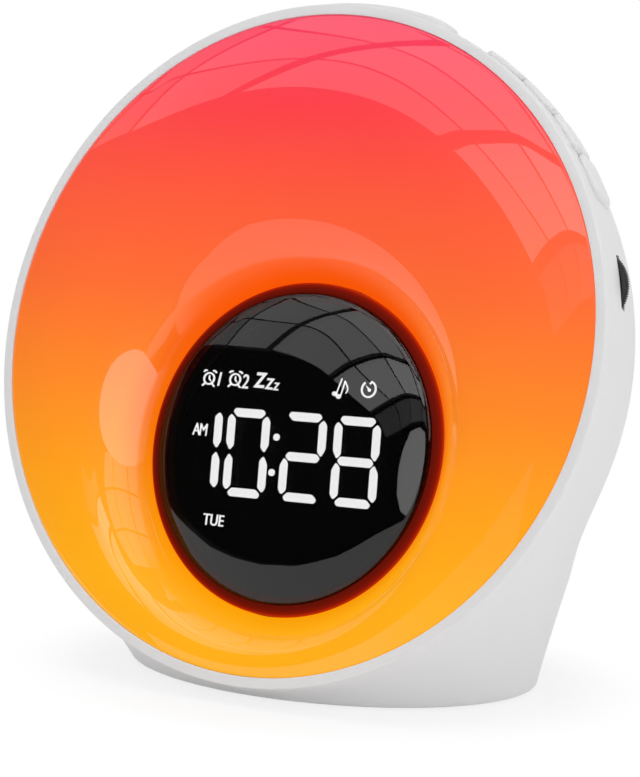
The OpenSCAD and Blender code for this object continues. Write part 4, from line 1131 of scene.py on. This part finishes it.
def along(values, t):
    """A smooth curve through evenly spaced values."""
    i = min(int(t), len(values) - 2)
    f = t - i
    p1, p2 = values[i], values[i + 1]
    p0 = values[i - 1] if i else 2 * p1 - p2
    p3 = values[i + 2] if i + 2 < len(values) else 2 * p2 - p1
    return p1 + 0.5 * f * (p2 - p0 + f * (2 * p0 - 5 * p1 + 4 * p2 - p3 + f * (3 * (p1 - p2) + p3 - p0)))


def panel_between(name, corners, low, high, start, end, glow):
    """A lit panel that fills part of a net of corners: rows low to high, columns start to end."""
    bm = bmesh.new()
    bmesh.ops.create_grid(bm, x_segments=10, y_segments=6, size=0.5)
    for vert in bm.verts:
        u = start + (vert.co.x + 0.5) * (end - start)
        v = low + (vert.co.y + 0.5) * (high - low)
        azimuths = [along([c[0] for c in row], u) for row in corners]
        heights = [along([c[1] for c in row], u) for row in corners]
        vert.co = ROOM_MIDDLE + PANEL_FAR * direction(along(azimuths, v), along(heights, v))
    stage_piece("ceiling_panel_" + name, bm, glowing("panel_light_" + name, (1, 1, 1), glow), glossy=True)


def ceiling_panels():
    for row, row_glow in enumerate(ROW_GLOW):
        for column, column_glow in enumerate(COLUMN_GLOW):
            gaps = [0.0 if seam in OPEN_SEAMS else THICK_SEAM if seam in THICK_SEAMS else SEAM
                    for seam in (column, column + 1)]
            panel_between(f"{row + 1}_{column + 1}", PANEL_CORNERS, row + (SEAM if row else 0.0), row + 1 - SEAM,
                          column + gaps[0], column + 1 - gaps[1], row_glow * column_glow)
    for row in range(3):
        for column in range(3):
            panel_between(f"left_{row + 1}_{column + 1}", LEFT_PANEL_CORNERS, row + LEFT_SEAM, row + 1 - LEFT_SEAM,
                          column + LEFT_SEAM, column + 1 - LEFT_SEAM, LEFT_GLOW)


FLOOR_LINE = [(-180, -2), (-130, -2), (-100, -2), (-77, -4.7), (-67, -8.4), (-60, -10.8), (-54, -13), (-44, -15),
              (-34, -16), (-22, -15.6), (-14, -20), (-6, -25), (26, -35), (50, -40), (100, -50), (125, -10), (180, -2)]
# Outlines of three near cards in millimetres: the floor's near edge, the oval lamp that the display window
# mirrors, and the lamp that the left of the lens mirrors. The first has x and z, the second steps along and up
# its plane, and the third has y and z.
FRONT_CARD = [(-79, -5), (-79, 10), (-51, 11), (-21, 15), (-4, 20), (11, 25), (24, 32), (38, 41), (49, 47), (60, 53),
              (72, 68), (84, 84), (84, -5)]
OVAL_LAMP = [(-27, -8), (-24, -17), (-19, -23), (-12, -25), (-6, -22), (-2, -13), (-2, 0), (-5, 11), (-11, 19),
             (-19, 18), (-24, 12), (-27, 2)]
LEFT_LAMP = [(-15, 77), (-24, 82), (-36, 87), (-51, 92), (-69, 97), (-89, 102), (-113, 107), (-139, 111), (-166, 113),
             (-188, 112), (-199, 107), (-193, 98), (-170, 87), (-139, 77), (-107, 68), (-79, 62), (-56, 59), (-38, 57),
             (-25, 56), (-15, 57)]


def card(name, points, strength, towards):
    """A flat card, given by its outline, that is lit on the side that faces one way and clear from behind."""
    bm = bmesh.new()
    face = bm.faces.new([bm.verts.new(Vector(point) * MM) for point in points])
    face.normal_update()
    if face.normal.dot(Vector(towards)) < 0:
        face.normal_flip()
    finish = Finish(name)
    behind = finish.node("NewGeometry", out="Backfacing")
    light = finish.node("Emission", values={"Color": (1.0, 0.99, 0.985), "Strength": strength})
    clear = finish.node("BsdfTransparent")
    material = finish.ends_in(finish.node("MixShader", values={0: behind, 1: light, 2: clear}))
    stage_piece(name, bm, material, glossy=True)


def near_cards():
    card("front_card", [(x, -100, z) for x, z in FRONT_CARD], 0.95, (0, 1, 0))
    card("oval_lamp", [(44 - 0.31 * u, -68 - 0.951 * u, 77 + v) for u, v in OVAL_LAMP], 2.5, (-0.951, 0.31, 0))
    card("left_lamp", [(14, y, z) for y, z in LEFT_LAMP], 3.0, (-1, 0, 0))


def room():
    """What the glossy pieces mirror: a bright floor, and a dark curtain behind the lit panels."""
    bright = bmesh.new()
    bmesh.ops.create_grid(bright, x_segments=180, y_segments=12, size=0.5)
    for vert in bright.verts:
        azimuth = vert.co.x * 360
        top = float(np.interp(azimuth, *zip(*FLOOR_LINE)))
        vert.co = ROOM_MIDDLE + FLOOR_FAR * direction(azimuth, top - (0.5 - vert.co.y) * (top + 90))
    stage_piece("floor_glow", bright, glowing("floor_glow", (1.0, 0.985, 0.975), 0.95), glossy=True)
    dark = bmesh.new()
    bmesh.ops.create_grid(dark, x_segments=54, y_segments=30, size=0.5)
    for vert in dark.verts:
        vert.co = ROOM_MIDDLE + CURTAIN_FAR * direction(-25 + vert.co.x * 270, 14 + vert.co.y * 148)
    stage_piece("dark_curtain", dark, glowing("dark_curtain", (1, 1, 1), 0.004), glossy=True)


def floor():
    bm = bmesh.new()
    bmesh.ops.create_circle(bm, cap_ends=True, radius=6, segments=96)
    finish = Finish("studio_floor")
    drift = finish.noise(finish.place(), 0.4)
    paint = finish.node("BsdfDiffuse", values={"Color": finish.mix(drift, (0.95, 0.95, 0.95), (0.97, 0.97, 0.97))})
    sheen = finish.node("BsdfGlossy", values={"Color": (1, 1, 1), "Roughness": 0.12})
    matte = finish.node("MixShader", values={0: 0.07, 1: paint, 2: sheen})
    white = finish.node("Emission", values={"Color": (1, 1, 1), "Strength": 1.0})
    seen = finish.node("LightPath", out="Is Camera Ray")
    # away from the foot the floor turns plain white
    by_foot = finish.node("VectorMath", {"operation": "MULTIPLY"}, {
        0: finish.place(), 1: (1 / SHADOW_A, 1 / SHADOW_B, 0)})
    far = finish.node("VectorMath", {"operation": "LENGTH"}, {0: by_foot}, out="Value").between(1.05, 1.6)
    share = SHADOW_SHARE + far * (1 - SHADOW_SHARE)
    material = finish.ends_in(finish.node("MixShader", values={0: seen * share, 1: matte, 2: white}))
    stage_piece("floor", bm, material, camera=True, diffuse=True, shadow=True, transmission=True)


def lamp(name, azimuth, height, distance, size, watts):
    data = bpy.data.lights.new(name, "AREA")
    data.shape = "DISK"
    data.size = size
    data.energy = watts
    thing = put(name, data)
    thing.location = ROOM_MIDDLE + distance * direction(azimuth, height)
    thing.rotation_euler = (ROOM_MIDDLE - thing.location).to_track_quat("-Z", "Y").to_euler()
    thing.visible_glossy = False


def studio():
    """A plain white sweep: the background is white where it is seen or mirrored, and soft grey as a light."""
    world = bpy.data.worlds.new("studio")
    bpy.context.scene.world = world
    world.use_nodes = True
    tree = world.node_tree
    background = tree.nodes["Background"]
    paths = tree.nodes.new("ShaderNodeLightPath")
    seen = paths.outputs["Is Camera Ray"]
    for other in ("Is Glossy Ray", "Is Transmission Ray"):
        both = tree.nodes.new("ShaderNodeMath")
        both.operation = "MAXIMUM"
        tree.links.new(seen, both.inputs[0])
        tree.links.new(paths.outputs[other], both.inputs[1])
        seen = both.outputs[0]
    level = tree.nodes.new("ShaderNodeMapRange")
    level.inputs["To Min"].default_value = 0.70
    level.inputs["To Max"].default_value = 1.0
    tree.links.new(seen, level.inputs["Value"])
    tree.links.new(level.outputs[0], background.inputs["Strength"])
    background.inputs["Color"].default_value = (1, 1, 1, 1)
    lamp("top_lamp", -60, 80, 1.2, 0.9, 3.6)
    lamp("right_lamp", 80, 1, 1.2, 0.7, 3.1)
    lamp("front_lamp", 25, 1, 1.3, 0.6, 1.2)


housing()
lens()
ring()
window()
panel()
lit_display()
buttons()
wheel()
rear()
base()
for name, node in frame["nodes"].items():
    node.data.materials.clear()
    node.data.materials.append(FINISH[NODE_SLOTS[name]])

floor()
room()
near_cards()
ceiling_panels()
studio()
camera()
bpy.context.scene.view_settings.view_transform = "Standard"
